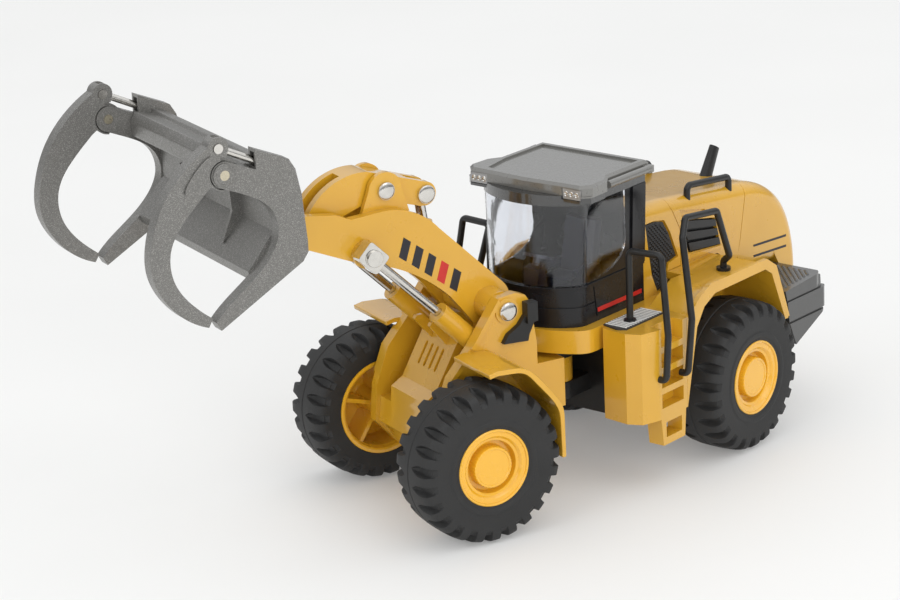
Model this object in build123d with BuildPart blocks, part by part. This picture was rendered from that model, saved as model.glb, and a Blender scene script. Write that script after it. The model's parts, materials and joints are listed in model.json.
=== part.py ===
from build123d import *
import os
from math import atan2, cos, degrees, hypot, radians, sin

# Die-cast toy wheel loader with a log grapple, about 1:50, in millimetres.
#
# The rear half and the front half are hinged at the articulation axis. Each half is drawn straight ahead in its
# own frame, with x forward, y to the left, z up and its origin on the ground under that axis. The front half is
# stored steered to its right. The row's origin is on the ground under the middle of the whole loader.

# ---------------------------------------------------------------- driving dimensions
ARTICULATION_X = -18.03
ARTICULATION_Y = 18.93
STEER_ANGLE = -20.55

WHEEL_R = 19.0
FRONT_AXLE_X = 37.5
REAR_AXLE_X = -38.3
TYRE_INNER_Y = 18.8
TYRE_OUTER_Y = 34.1
AXLE_R = 1.2
LUGS = 24
RUN = 0.05                                   # radial clearance of a running fit

BOOM_PIVOT = (22.5, 50.0)                    # pivots are (x, z) in the front frame
BOOM_TIP = (80.0, 75.5)
LIFT_FOOT = (24.0, 37.5)
LIFT_HEAD = (55.2, 68.2)
ROCKER_PIVOT = (47.5, 81.5)
ROCKER_REAR = (36.0, 78.3)
ROCKER_FRONT = (66.0, 73.0)
TILT_FOOT = (33.0, 58.0)
LINK_HEAD = (84.0, 82.0)
CLAW_PIVOT = (101.0, 100.5)
CLAW_HEAD = (102.0, 106.6)

BOOM_OUT_Y = 8.0
BOOM_IN_Y = 5.5
TOWER_OUT_Y = 16.4
TOWER_IN_Y = 13.9
BLOCK_Y = 14.2                                # the hinge block, clear of the tanks at full steer
NOSE_Y = 8.1
LIFT_Y = 11.0
GRAPPLE_OUT_Y = 32.0
GRAPPLE_IN_Y = 28.6
FORK_OUT_Y = 31.2                            # the slot that splits a grapple plate into two lugs
FORK_IN_Y = 29.4

DECK_TOP = 41.3
DECK_BOTTOM = 35.5
TANK_IN_Y = 18.8
TANK_OUT_Y = 31.0
FENDER_OUT_Y = 31.0
HOOD_Y = 14.0
CAB_SILL = 51.5
CAB_TOP = 71.8
SIDES = (("left", 1), ("right", -1))

REAR = Plane(origin=(ARTICULATION_X, ARTICULATION_Y, 0))
FRONT = REAR.rotated((0, 0, STEER_ANGLE))


# ---------------------------------------------------------------- planes and small helpers
def spot(frame, x, y, z):
    """The global point of a place in a frame."""
    return frame.from_local_coords(Vector(x, y, z))


def side(frame, y):
    """Side view at width y, with local x forward and local y up. Extrusion runs to the right."""
    return Plane(origin=spot(frame, 0, y, 0), x_dir=frame.x_dir, z_dir=-frame.y_dir)


def front_view(frame, x, z=0.0):
    """Front view at length x, with local x to the left and local y up. Extrusion runs forward."""
    return Plane(origin=spot(frame, x, 0, z), x_dir=frame.y_dir, z_dir=frame.x_dir)


def level(frame, z):
    """Top view at height z, with local x forward and local y to the left."""
    return frame.offset(z)


def along(frame, start, end):
    """The plane at start that faces end, both (x, y, z) in the frame."""
    first = spot(frame, *start)
    last = spot(frame, *end)
    return Plane(origin=first, x_dir=frame.y_dir, z_dir=last - first)


def between(start, end, distance):
    """The (x, z) point at a distance from start towards end."""
    length = hypot(end[0] - start[0], end[1] - start[1])
    t = distance / length
    return (start[0] + t * (end[0] - start[0]), start[1] + t * (end[1] - start[1]))


def span(start, end):
    return hypot(end[0] - start[0], end[1] - start[1])


def slope(start, end):
    return degrees(atan2(end[1] - start[1], end[0] - start[0]))


def outline(points, mode=Mode.ADD):
    """A closed polygon face on the current sketch."""
    Polygon(*points, align=None, mode=mode)


def slab(frame, y_from, y_to, points, mode=Mode.ADD):
    """A plate of a side-view outline, from one width to another."""
    with BuildSketch(side(frame, y_from)) as face:
        outline(points)
    extrude(face.sketch, amount=y_from - y_to, mode=mode)


def disc(frame, centre, radius, y_from, y_to, mode=Mode.ADD):
    """A cylinder across the loader, centred on an (x, z) point."""
    with BuildSketch(side(frame, y_from)) as face:
        with Locations(centre):
            Circle(radius)
    extrude(face.sketch, amount=y_from - y_to, mode=mode)


def brick(frame, x, y, z, mode=Mode.ADD):
    """A box from (low, high) pairs along the frame's axes."""
    with BuildSketch(level(frame, z[0])) as face:
        with Locations(((x[0] + x[1]) / 2, (y[0] + y[1]) / 2)):
            Rectangle(x[1] - x[0], y[1] - y[0])
    extrude(face.sketch, amount=z[1] - z[0], mode=mode)


def rod(frame, start, end, radius, mode=Mode.ADD):
    """A round bar from start to end."""
    with BuildSketch(along(frame, start, end)) as face:
        Circle(radius)
    extrude(face.sketch, amount=(Vector(*end) - Vector(*start)).length, mode=mode)


def tube_path(frame, points, bend, radius):
    """A bent round bar through the points, with filleted corners."""
    path_points = [spot(frame, *p) for p in points]
    with BuildLine() as path:
        FilletPolyline(*path_points, radius=bend)
    with BuildSketch(Plane(origin=path.line @ 0, z_dir=path.line % 0)) as face:
        Circle(radius)
    sweep(face.sketch, path=path.line)


os.makedirs("parts", exist_ok=True)


def save(builder, name):
    builder.part.label = name
    export_step(builder.part, f"parts/{name}.step")


# ---------------------------------------------------------------- wheels
RIM_FACE_R = 9.45
RIM_DRUM_R = 12.1
DRUM_END_Y = 31.5
TREAD_PROFILE = ((31.9, 18.75), (33.3, 18.1), (34.1, 16.2))
NOTCH_DEPTH = 2.3
NOTCH_LENGTH = 5.6
NOTCH_WIDTH = 2.1


def wheel_plane(frame, axle_x):
    return front_view(frame, axle_x, WHEEL_R)


def spin_axis(plane):
    return Axis(plane.origin, plane.x_dir)


def make_tyre(frame, axle_x, sign, name):
    plane = wheel_plane(frame, axle_x)
    middle = (TYRE_INNER_Y + TYRE_OUTER_Y) / 2
    outer_half = list(TREAD_PROFILE)
    inner_half = [(2 * middle - y, r) for y, r in reversed(outer_half)]
    bore = [(TYRE_INNER_Y, RIM_DRUM_R), (DRUM_END_Y, RIM_DRUM_R), (DRUM_END_Y, RIM_FACE_R)]
    profile = inner_half[::-1] + bore + [(TYRE_OUTER_Y, RIM_FACE_R)] + outer_half[::-1] + [(middle, WHEEL_R)]
    with BuildPart() as tyre:
        with BuildSketch(plane):
            outline([(sign * y, r) for y, r in profile])
        revolve(axis=spin_axis(plane))
        pitch = 360 / LUGS
        for face_y, inward, phase in ((TYRE_OUTER_Y, 1, pitch / 2), (TYRE_INNER_Y, -1, 0)):
            wall = side(frame, sign * face_y)
            with BuildSketch(wall):
                with Locations((axle_x, WHEEL_R)):
                    with PolarLocations(WHEEL_R, LUGS, start_angle=phase + 90):
                        Rectangle(2 * NOTCH_DEPTH, NOTCH_WIDTH)
            extrude(amount=sign * inward * NOTCH_LENGTH, mode=Mode.SUBTRACT)
    save(tyre, name)


RIM_PROFILE = (
    (34.0, 9.45), (34.0, 8.2), (33.6, 7.9), (33.6, 7.4), (32.6, 6.7), (31.2, 6.2), (31.2, 5.0),
    (33.2, 5.0), (33.5, 4.7), (33.5, 0.0), (30.0, 0.0), (30.0, 1.2), (20.6, 1.2), (20.6, 2.8),
    (28.6, 2.8), (28.6, 10.2), (19.6, 10.2), (18.9, 11.0), (18.9, 12.1), (31.5, 12.1), (31.5, 9.45),
)
SPOKES = 5


def make_rim(frame, axle_x, sign, name):
    plane = wheel_plane(frame, axle_x)
    with BuildPart() as rim:
        with BuildSketch(plane):
            outline([(sign * y, r) for y, r in RIM_PROFILE])
        revolve(axis=spin_axis(plane))
        with BuildSketch(side(frame, sign * 23.0)):
            with Locations((axle_x, WHEEL_R)):
                with PolarLocations(6.5, SPOKES, start_angle=90):
                    Rectangle(8.2, 1.2)
        extrude(amount=-sign * 5.8)
    save(rim, name)


def make_axle(frame, axle_x, name):
    with BuildPart() as axle:
        disc(frame, (axle_x, WHEEL_R), AXLE_R, 30.0, -30.0)
    save(axle, name)


for frame, axle_x, end in ((FRONT, FRONT_AXLE_X, "front"), (REAR, REAR_AXLE_X, "rear")):
    make_axle(frame, axle_x, f"{end}_axle")
    for hand, sign in SIDES:
        make_tyre(frame, axle_x, sign, f"{end}_tyre_{hand}")
        make_rim(frame, axle_x, sign, f"{end}_rim_{hand}")


# ---------------------------------------------------------------- rear half: chassis
PIN_R = 2.0
CLEVIS_Y = 4.9
with BuildPart() as rear_chassis:
    brick(REAR, (-60.0, -8.0), (-12.0, 12.0), (14.0, 24.0))
    brick(REAR, (-44.0, -32.6), (-17.5, 17.5), (15.2, 22.8))
    for low, high in ((19.5, 23.8), (30.2, 34.4)):
        brick(REAR, (-12.0, 0.0), (-CLEVIS_Y, CLEVIS_Y), (low, high))
        with BuildSketch(level(REAR, low)):
            Circle(CLEVIS_Y)
        extrude(amount=high - low)
    brick(REAR, (-16.0, -8.0), (-12.0, 12.0), (24.0, 34.4))
    with BuildSketch(level(REAR, 19.0)):
        Circle(PIN_R)
    extrude(amount=16.0, mode=Mode.SUBTRACT)
    disc(REAR, (REAR_AXLE_X, WHEEL_R), AXLE_R + RUN, 18.0, -18.0, mode=Mode.SUBTRACT)
    for x in (-54.0, -22.0):
        with BuildSketch(level(REAR, 14.0)):
            with Locations((x, -7.0), (x, 7.0)):
                Circle(1.6)
        extrude(amount=1.2, mode=Mode.SUBTRACT)
save(rear_chassis, "rear_chassis")

with BuildPart() as articulation_pin:
    with BuildSketch(level(REAR, 19.0)):
        Circle(PIN_R)
    extrude(amount=15.4)
    with BuildSketch(level(REAR, 18.2)):
        Circle(2.9)
    extrude(amount=1.3)
save(articulation_pin, "articulation_pin")

with BuildPart() as chassis_screws:
    for x in (-54.0, -22.0):
        with BuildSketch(level(REAR, 14.2)):
            with Locations((x, -7.0), (x, 7.0)):
                Circle(1.5)
                Rectangle(2.0, 0.4, mode=Mode.SUBTRACT)
                Rectangle(0.4, 2.0, mode=Mode.SUBTRACT)
        extrude(amount=1.0)
save(chassis_screws, "chassis_screws")

# ---------------------------------------------------------------- rear half: deck, tanks and ladders
LADDER_FRONT = -0.9
LADDER_BACK = -12.9
TANK_BOTTOM = 18.4
STEP_BOTTOM = 11.4
RUNG_HEIGHTS = (21.0, 26.2, 31.4, 36.6)
RUNG_GAP = 3.6
POCKET_DEPTH = 3.2
DECK_SIDE_Y = 18.4


def tank_plan(sign):
    """Top view of one tank: a bevelled front corner, a flat ladder side and a straight back."""
    return [(LADDER_BACK, sign * TANK_IN_Y), (4.4, sign * TANK_IN_Y), (5.2, sign * 26.0),
            (3.6, sign * 29.6), (LADDER_FRONT, sign * TANK_OUT_Y), (LADDER_BACK, sign * TANK_OUT_Y)]


def bowed_plan(half, front, shoulder, back, corner):
    """Top view with straight sides and back, and a bowed front between rounded corners."""
    with BuildLine() as edge:
        ThreePointArc((shoulder, half), (front, 0), (shoulder, -half))
        Polyline((shoulder, -half), (back, -half), (back, half), (shoulder, half))
    make_face(edge.edges())
    fillet(vertices().sort_by(Axis.X)[-2:], corner)


with BuildPart() as deck_body:
    with BuildSketch(level(REAR, DECK_BOTTOM)):
        bowed_plan(17.2, 14.0, 8.0, -29.0, 5.0)
    extrude(amount=DECK_TOP - DECK_BOTTOM)
    brick(REAR, (-58.0, -16.0), (-13.0, 13.0), (24.0, DECK_TOP))
    for hand, sign in SIDES:
        with BuildSketch(level(REAR, TANK_BOTTOM)):
            outline(tank_plan(sign))
        extrude(amount=DECK_TOP - TANK_BOTTOM)
        brick(REAR, (-29.0, 2.4), sorted((sign * 16.0, sign * DECK_SIDE_Y)), (DECK_BOTTOM, DECK_TOP))
        brick(REAR, (LADDER_BACK, 2.4), sorted((sign * 18.0, sign * 19.0)), (DECK_BOTTOM, DECK_TOP))
        for z in RUNG_HEIGHTS:
            x = (LADDER_BACK + 1.6, LADDER_FRONT - 1.6)
            y = sorted((sign * TANK_OUT_Y, sign * (TANK_OUT_Y - POCKET_DEPTH)))
            top = DECK_TOP if z == RUNG_HEIGHTS[-1] else z + RUNG_GAP
            brick(REAR, x, y, (z, top), mode=Mode.SUBTRACT)
        with BuildSketch(side(REAR, sign * TANK_OUT_Y)):
            outline([(-12.2, TANK_BOTTOM), (-2.0, TANK_BOTTOM), (-2.8, STEP_BOTTOM), (-11.6, STEP_BOTTOM)])
            with Locations((-7.2, 15.2)):
                Rectangle(6.4, 3.8, mode=Mode.SUBTRACT)
        extrude(amount=sign * 4.4)
save(deck_body, "deck_body")

POST_FOOT = (-3.0, 21.5)
with BuildPart() as deck_treads:
    for hand, sign in SIDES:
        with BuildSketch(level(REAR, DECK_TOP)):
            outline([(-12.4, sign * 17.6), (2.6, sign * 17.6), (3.9, sign * 22.6), (2.6, sign * 24.6),
                     (-12.4, sign * 24.6)])
        extrude(amount=0.3)
        for x in range(-12, 3):
            brick(REAR, (x - 0.25, x + 0.25), sorted((sign * 18.0, sign * 24.2)), (DECK_TOP + 0.3, DECK_TOP + 0.5))
        post = (POST_FOOT[0], sign * POST_FOOT[1], DECK_TOP - 0.5)
        rod(REAR, post, (post[0], post[1], DECK_TOP + 1.0), 1.6, mode=Mode.SUBTRACT)
save(deck_treads, "deck_treads")

# ---------------------------------------------------------------- rear half: fenders
FENDER_IN_Y = 18.5
RAIL_R = 0.85
RAIL_FOOT = (-37.4, 25.0, 44.9)
FENDER_TOP_Z = 46.0
FENDER_INNER = [(-13.0, 18.4), (-17.4, 37.6), (-20.6, 42.0), (-25.2, 44.2), (-47.0, 44.4), (-49.8, 42.6), (-55.6, 29.0)]
FENDER_OUTER = [(-57.0, 29.0), (-51.0, 43.4), (-47.4, 45.8), (-24.0, FENDER_TOP_Z), (-19.0, 43.6), (-15.0, 41.3),
                (-12.95, 41.3), (-12.95, 18.4)]
FENDER_LIP = [(-57.5, 29.4), (-51.9, 44.2), (-47.8, 46.9), (-23.7, 47.1), (-18.8, 44.9), (-15.2, 42.2), (-15.6, 41.0),
              (-19.2, 43.3), (-24.2, 45.4), (-47.2, 45.2), (-50.4, 43.0), (-56.2, 29.2)]
for hand, sign in SIDES:
    with BuildPart() as rear_fender:
        slab(REAR, sign * FENDER_OUT_Y, sign * FENDER_IN_Y, FENDER_INNER + FENDER_OUTER)
        slab(REAR, sign * FENDER_IN_Y, sign * HOOD_Y,
             [(-28.6, 44.2)] + FENDER_INNER[4:] + FENDER_OUTER[:3] + [(-28.6, 45.95)])
        slab(REAR, sign * FENDER_OUT_Y, sign * (FENDER_OUT_Y - 1.2), FENDER_LIP)
        rod(REAR, (RAIL_FOOT[0], sign * RAIL_FOOT[1], RAIL_FOOT[2]), (RAIL_FOOT[0], sign * RAIL_FOOT[1], 48.0), RAIL_R,
            mode=Mode.SUBTRACT)
    save(rear_fender, f"rear_fender_{hand}")

# ---------------------------------------------------------------- rear half: hood
HOOD_RAIL_Y = 12.4
HOOD_ROUND = 3.6
HOOD_RAIL_FEET = ((-40.0, 60.0), (-58.0, 58.0))
PIPE_FOOT = (-64.8, 0, 58.0)
PIPE_TIP = (-69.8, 0, 66.4)


def round_top(part_edges, steepest, lowest):
    """Fillet the long upper edges of a hood shell, up to a given steepness and down to a given height."""
    chosen = []
    for edge in part_edges:
        start = REAR.to_local_coords(edge.position_at(0))
        end = REAR.to_local_coords(edge.position_at(1))
        on_side = abs(start.Y - end.Y) < 0.01 and abs(abs(start.Y) - HOOD_Y) < 0.01
        run = abs(start.X - end.X)
        if on_side and min(start.Z, end.Z) > lowest and abs(start.Z - end.Z) < steepest * run:
            chosen.append(edge)
    fillet(chosen, HOOD_ROUND)


def pipe(foot, tip, mode=Mode.ADD):
    """The flattened exhaust pipe, narrower towards its tip."""
    base = along(REAR, foot, tip)
    length = (Vector(*tip) - Vector(*foot)).length
    with BuildSketch(base) as low:
        Ellipse(1.5, 2.0)
    with BuildSketch(base.offset(length)) as high:
        Ellipse(1.1, 1.7)
    loft([low.sketch.face(), high.sketch.face()], mode=mode)


GRILLE_OPENING = [(-20.1, 60.2), (-24.0, 60.2), (-28.0, 59.4), (-30.4, 55.8), (-33.6, 48.6), (-29.4, 47.8), (-28.6, 44.0),
                  (-27.6, 41.8), (-24.6, 41.8), (-22.4, 46.6), (-21.4, 52.2)]
GRILLE_MESH = [(-20.5, 59.8), (-24.0, 59.8), (-27.7, 59.0), (-30.0, 55.6), (-33.0, 48.9), (-29.1, 48.1), (-28.3, 44.1),
               (-27.4, 42.1), (-24.9, 42.1), (-22.8, 46.6), (-21.8, 52.2)]
with BuildPart() as hood:
    slab(REAR, HOOD_Y, -HOOD_Y, [(-19.0, DECK_TOP), (-19.0, 65.0), (-30.6, 64.0), (-30.9, 61.8), (-34.5, 55.4),
                                 (-34.5, 46.0), (-29.2, 46.0), (-28.4, DECK_TOP)])
    round_top(hood.edges(), 0.4, 49.0)
    for sign in (1, -1):
        slab(REAR, sign * HOOD_Y, sign * (HOOD_Y - 0.8),
             GRILLE_OPENING, mode=Mode.SUBTRACT)
save(hood, "hood_front")

LOUVRE_DEPTH = 1.4
LOUVRE_FRONT = ((-38.0, 48.3), (-34.9, 57.6))    # the front and rear edges of the louvre opening, from the bottom up
LOUVRE_BACK = ((-51.9, 46.9), (-49.6, 54.6))
LOUVRE_OPENING = [LOUVRE_FRONT[1], LOUVRE_BACK[1], LOUVRE_BACK[0], LOUVRE_FRONT[0], (-36.2, 53.9)]
SCOOP = [(-34.6, 60.2), (-45.3, 57.9), (-47.0, 55.8), (-35.4, 58.4)]
with BuildPart() as hood:
    slab(REAR, HOOD_Y, -HOOD_Y, [(-30.8, 63.9), (-31.1, 61.8), (-34.7, 55.4), (-34.7, 45.6), (-50.6, 45.0),
                                 (-55.6, DECK_TOP), (-59.2, DECK_TOP), (-60.5, 46.0), (-63.5, 60.0)])
    round_top(hood.edges(), 0.4, 49.0)
    for sign in (1, -1):
        for x, z in HOOD_RAIL_FEET:
            rod(REAR, (x, sign * HOOD_RAIL_Y, z), (x, sign * HOOD_RAIL_Y, 68.0), RAIL_R, mode=Mode.SUBTRACT)
    for sign in (1, -1):
        slab(REAR, sign * HOOD_Y, sign * (HOOD_Y - LOUVRE_DEPTH), LOUVRE_OPENING, mode=Mode.SUBTRACT)
        slab(REAR, sign * HOOD_Y, sign * (HOOD_Y - 0.7), SCOOP, mode=Mode.SUBTRACT)
        slab(REAR, sign * (HOOD_Y + 0.5), sign * HOOD_Y, [(-38.2, 48.0), (-52.0, 46.8), (-52.0, 46.1), (-37.4, 46.9)])
save(hood, "hood_main")

with BuildPart() as hood:
    with BuildSketch(side(REAR, HOOD_Y)) as profile:
        with BuildLine() as edge:
            Spline((-63.7, 59.9), (-70.5, 58.4), (-76.6, 55.4), (-81.8, 50.6), (-85.4, 43.6), (-87.2, 34.4))
            Polyline((-87.2, 34.4), (-86.0, 26.5), (-79.9, 25.4), (-80.6, 30.65), (-77.6, 35.6), (-60.0, 35.6),
                     (-59.4, 42.0), (-60.7, 46.0), (-63.7, 59.9))
        make_face(edge.edges())
    extrude(profile.sketch, amount=2 * HOOD_Y)
    round_top(hood.edges(), 1.6, 33.0)
    pipe(PIPE_FOOT, PIPE_TIP, mode=Mode.SUBTRACT)
save(hood, "hood_rear")

with BuildPart() as side_grilles:
    for sign in (1, -1):
        slab(REAR, sign * (HOOD_Y - 0.3), sign * (HOOD_Y - 0.8), GRILLE_MESH)
save(side_grilles, "side_grilles")

SLATS = 3
SLAT_SHARE = 0.72
SLAT_END_GAP = 0.3


def part_way(edge, share, inset):
    """The point at a share of an edge from its bottom, moved back by an inset."""
    (x_low, z_low), (x_high, z_high) = edge
    return (x_low + share * (x_high - x_low) - inset, z_low + share * (z_high - z_low))


with BuildPart() as louvre_panels:
    for sign in (1, -1):
        slab(REAR, sign * (HOOD_Y - 1.0), sign * (HOOD_Y - LOUVRE_DEPTH), LOUVRE_OPENING)
        for i in range(SLATS):
            low = (i + (1 - SLAT_SHARE) / 2) / SLATS
            high = low + SLAT_SHARE / SLATS
            slat = [part_way(edge, share, inset) for edge, share, inset in (
                (LOUVRE_FRONT, low, 2 * SLAT_END_GAP), (LOUVRE_BACK, low, -SLAT_END_GAP),
                (LOUVRE_BACK, high, -SLAT_END_GAP), (LOUVRE_FRONT, high, 2 * SLAT_END_GAP))]
            slab(REAR, sign * (HOOD_Y + 0.3), sign * (HOOD_Y - 1.0), slat)
save(louvre_panels, "louvre_panels")

with BuildPart() as hood_rails:
    for sign in (1, -1):
        y = sign * HOOD_RAIL_Y
        front_foot, rear_foot = [(x, y, z) for x, z in HOOD_RAIL_FEET]
        tube_path(REAR, [front_foot, (-40.0, y, 65.0), (-58.0, y, 63.0), rear_foot], 1.4, RAIL_R)
save(hood_rails, "hood_rails")

with BuildPart() as exhaust_pipe:
    pipe(PIPE_FOOT, PIPE_TIP)
save(exhaust_pipe, "exhaust_pipe")

COUNTERWEIGHT_Y = 28.0
SEAM_DEPTH = 0.5


def rounded_bar(half, points, back, corner):
    """A bar across the loader with a side-view outline and rounded rear corners."""
    with BuildPart() as bar:
        slab(REAR, half, -half, points)
        with BuildSketch(level(REAR, 0.0)) as plan:
            with Locations((back + 30.0, 0)):
                RectangleRounded(60.0, 2 * half, corner)
        extrude(plan.sketch, amount=60.0, mode=Mode.INTERSECT)
    return bar.part


CORE = [(-60.9, 34.0), (-77.0, 34.6), (-77.6, 31.5), (-79.4, 31.2), (-79.2, 25.6), (-78.2, 25.0), (-65.2, 19.6), (-62.4, 25.4)]
TOP_BAR = [(-60.2, 34.4), (-77.2, 35.4), (-77.8, 34.6), (-78.1, 31.7), (-61.0, 31.7)]
MIDDLE_BAR = [(-61.2, 31.2), (-79.4, 31.2), (-80.2, 30.4), (-79.8, 25.8), (-61.9, 25.8)]
WEDGE_BAR = [(-62.2, 25.2), (-78.9, 25.2), (-65.0, 19.0)]
counterweight_pieces = [
    rounded_bar(COUNTERWEIGHT_Y - SEAM_DEPTH, CORE, -79.4, 3.0),
    rounded_bar(COUNTERWEIGHT_Y, TOP_BAR, -78.1, 4.0),
    rounded_bar(COUNTERWEIGHT_Y, MIDDLE_BAR, -80.2, 3.0),
    rounded_bar(COUNTERWEIGHT_Y, WEDGE_BAR, -78.9, 2.0),
]
with BuildPart() as counterweight:
    for piece in counterweight_pieces:
        add(piece)
save(counterweight, "counterweight")

# ---------------------------------------------------------------- rear half: cab
CAB_BACK = -18.6
CAB_SEAM = 46.2
DOOR_FRONT = 1.4
CAB_LOW = (14.3, 13.0)                       # half width and front at the sill
CAB_HIGH = (15.1, 12.2)                      # half width and front under the roof


def cab_plan(size, grow=0.0):
    """Top view of the cab."""
    half, front = size
    bowed_plan(half + grow, front + grow, 6.2, CAB_BACK, 4.6 + grow)


GLASS_T = 0.8
POST_FRONT = -13.4
SILL_CURVE = [(6.0, CAB_SILL), (-3.0, CAB_SILL + 0.3), (-11.8, CAB_SILL + 1.6), (-11.2, CAB_SILL + 8.5)]


def cab_shell(outer, inner):
    """The wall between the sill and the roof, which leans outwards, between two offsets."""
    for grow, mode in ((outer, Mode.ADD), (inner, Mode.SUBTRACT)):
        with BuildSketch(level(REAR, CAB_SILL)) as sill:
            cab_plan(CAB_LOW, grow)
        with BuildSketch(level(REAR, CAB_TOP)) as top:
            cab_plan(CAB_HIGH, grow)
        loft([sill.sketch.face(), top.sketch.face()], mode=mode)


def pillar_zone(mode):
    """Everything behind the door post and under the curved sill."""
    with BuildLine() as edge:
        Bezier(*SILL_CURVE)
        Polyline(SILL_CURVE[-1], (-10.6, CAB_TOP), (CAB_BACK, CAB_TOP), (CAB_BACK, CAB_SILL), SILL_CURVE[0])
    with BuildSketch(side(REAR, 20.0)) as face:
        make_face(edge.edges())
    extrude(face.sketch, amount=40.0, mode=mode)


BASE_LAYERS = ((0.0, DECK_TOP, CAB_SEAM), (-0.35, CAB_SEAM, CAB_SEAM + 0.4), (0.0, CAB_SEAM + 0.4, CAB_SILL - 0.6),
               (0.35, CAB_SILL - 0.6, CAB_SILL))
with BuildPart() as cab_base:
    for grow, low, high in BASE_LAYERS:
        with BuildSketch(level(REAR, low)):
            cab_plan(CAB_LOW, grow)
        extrude(amount=high - low)
    brick(REAR, (CAB_BACK, DOOR_FRONT), (-CAB_LOW[0], CAB_LOW[0]), (CAB_SEAM, CAB_SEAM + 0.4))
    for sign in (1, -1):
        slab(REAR, sign * (CAB_LOW[0] + 0.5), sign * (CAB_LOW[0] - 0.35),
             [(DOOR_FRONT, CAB_SILL - 1.2), (DOOR_FRONT + 0.4, CAB_SILL - 1.2), (DOOR_FRONT - 0.6, DECK_TOP + 1.2),
              (DOOR_FRONT - 1.0, DECK_TOP + 1.2)], mode=Mode.SUBTRACT)
    with BuildSketch(level(REAR, DECK_TOP + 1.6)):
        cab_plan(CAB_LOW, grow=-1.4)
    extrude(amount=CAB_SILL - DECK_TOP, mode=Mode.SUBTRACT)
    brick(REAR, (CAB_BACK, CAB_BACK + 1.4), (-CAB_LOW[0], CAB_LOW[0]), (DECK_TOP, CAB_SILL))
save(cab_base, "cab_base")

with BuildPart() as door_posts:
    cab_shell(0.5, -0.4)
    brick(REAR, (CAB_BACK, POST_FRONT), (-17.0, 17.0), (CAB_SILL, CAB_TOP), mode=Mode.INTERSECT)

with BuildPart() as cab_pillars:
    cab_shell(0.0, -GLASS_T)
    pillar_zone(Mode.INTERSECT)
    add(door_posts.part)
    brick(REAR, (CAB_BACK, CAB_BACK + 1.0), (-CAB_LOW[0], CAB_LOW[0]), (CAB_SILL, CAB_TOP))
save(cab_pillars, "cab_pillars")

with BuildPart() as windshield:
    cab_shell(0.0, -GLASS_T)
    pillar_zone(Mode.SUBTRACT)
save(windshield, "windshield")

ROOF_UNDER = 74.4
ROOF_TOP = 77.4
POD_BOTTOM = 73.0
DRIP_RAIL = ((-1.0, 17.5, 75.6), (-17.6, 17.5, 75.6))
PANEL = [(-17.0, 14.6), (-2.2, 14.6), (6.6, 13.0), (7.8, 0.0)]
with BuildPart() as cab_roof:
    with BuildSketch(level(REAR, CAB_TOP)):
        cab_plan(CAB_HIGH, 0.3)
    extrude(amount=ROOF_UNDER - CAB_TOP)
    with BuildSketch(level(REAR, ROOF_UNDER)):
        outline([(-18.9, -16.3), (-18.9, 16.3), (-2.6, 16.3), (0.6, 18.4), (6.6, 18.7), (9.0, 16.4), (9.2, 10.4), (9.8, 0.0),
                 (9.2, -10.4), (9.0, -16.4), (6.6, -18.7), (0.6, -18.4), (-2.6, -16.3)])
    extrude(amount=ROOF_TOP - ROOF_UNDER)
    chamfer(faces().sort_by(Axis.Z)[-1].edges(), 0.7)
    with BuildSketch(level(REAR, ROOF_TOP - 0.5)):
        outline(PANEL + [(x, -y) for x, y in PANEL[-2::-1]])
    extrude(amount=1.0, mode=Mode.SUBTRACT)
    for sign in (1, -1):
        with BuildSketch(level(REAR, POD_BOTTOM)) as pod:
            outline([(1.4, sign * 10.8), (9.1, sign * 10.6), (9.1, sign * 16.6), (7.2, sign * 18.6), (1.4, sign * 18.4)])
        extrude(pod.sketch, amount=ROOF_UNDER - POD_BOTTOM + 0.4)
        brick(REAR, (8.2, 9.6), sorted((sign * 11.3, sign * 16.8)), (POD_BOTTOM + 0.7, ROOF_TOP - 1.0), mode=Mode.SUBTRACT)
        rail_start, rail_end = [(x, sign * y, z) for x, y, z in DRIP_RAIL]
        rod(REAR, rail_start, rail_end, 0.95)
        brick(REAR, (-18.6, -16.6), sorted((sign * 15.6, sign * 18.2)), (ROOF_UNDER + 0.3, ROOF_UNDER + 2.0))
save(cab_roof, "cab_roof")

with BuildPart() as roof_lamps:
    for sign in (1, -1):
        brick(REAR, (8.2, 8.9), sorted((sign * 11.4, sign * 16.7)), (POD_BOTTOM + 0.8, ROOF_TOP - 1.1))
save(roof_lamps, "roof_lamps")

with BuildPart() as seat:
    brick(REAR, (-12.0, -2.0), (-4.6, 4.6), (DECK_TOP + 1.6, 49.0))
    slab(REAR, 4.6, -4.6, [(-12.0, 49.0), (-9.4, 49.0), (-12.0, 62.0), (-14.4, 62.0)])
    for sign in (1, -1):
        brick(REAR, (-11.0, -3.0), sorted((sign * 4.6, sign * 6.4)), (50.0, 51.6))
        brick(REAR, (-11.0, -9.0), sorted((sign * 4.6, sign * 6.4)), (47.0, 50.0))
save(seat, "seat")

with BuildPart() as steering_console:
    slab(REAR, 2.2, -2.2, [(3.2, DECK_TOP + 1.6), (9.0, DECK_TOP + 1.6), (7.4, 54.0), (5.2, 54.6)])
    with BuildSketch(along(REAR, (5.6, 0, 54.3), (4.4, 0, 57.3))):
        Circle(1.0)
    extrude(amount=2.2)
    with BuildSketch(along(REAR, (4.9, 0, 56.1), (3.7, 0, 59.1))):
        Circle(3.6)
    extrude(amount=0.8)
save(steering_console, "steering_console")

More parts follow.
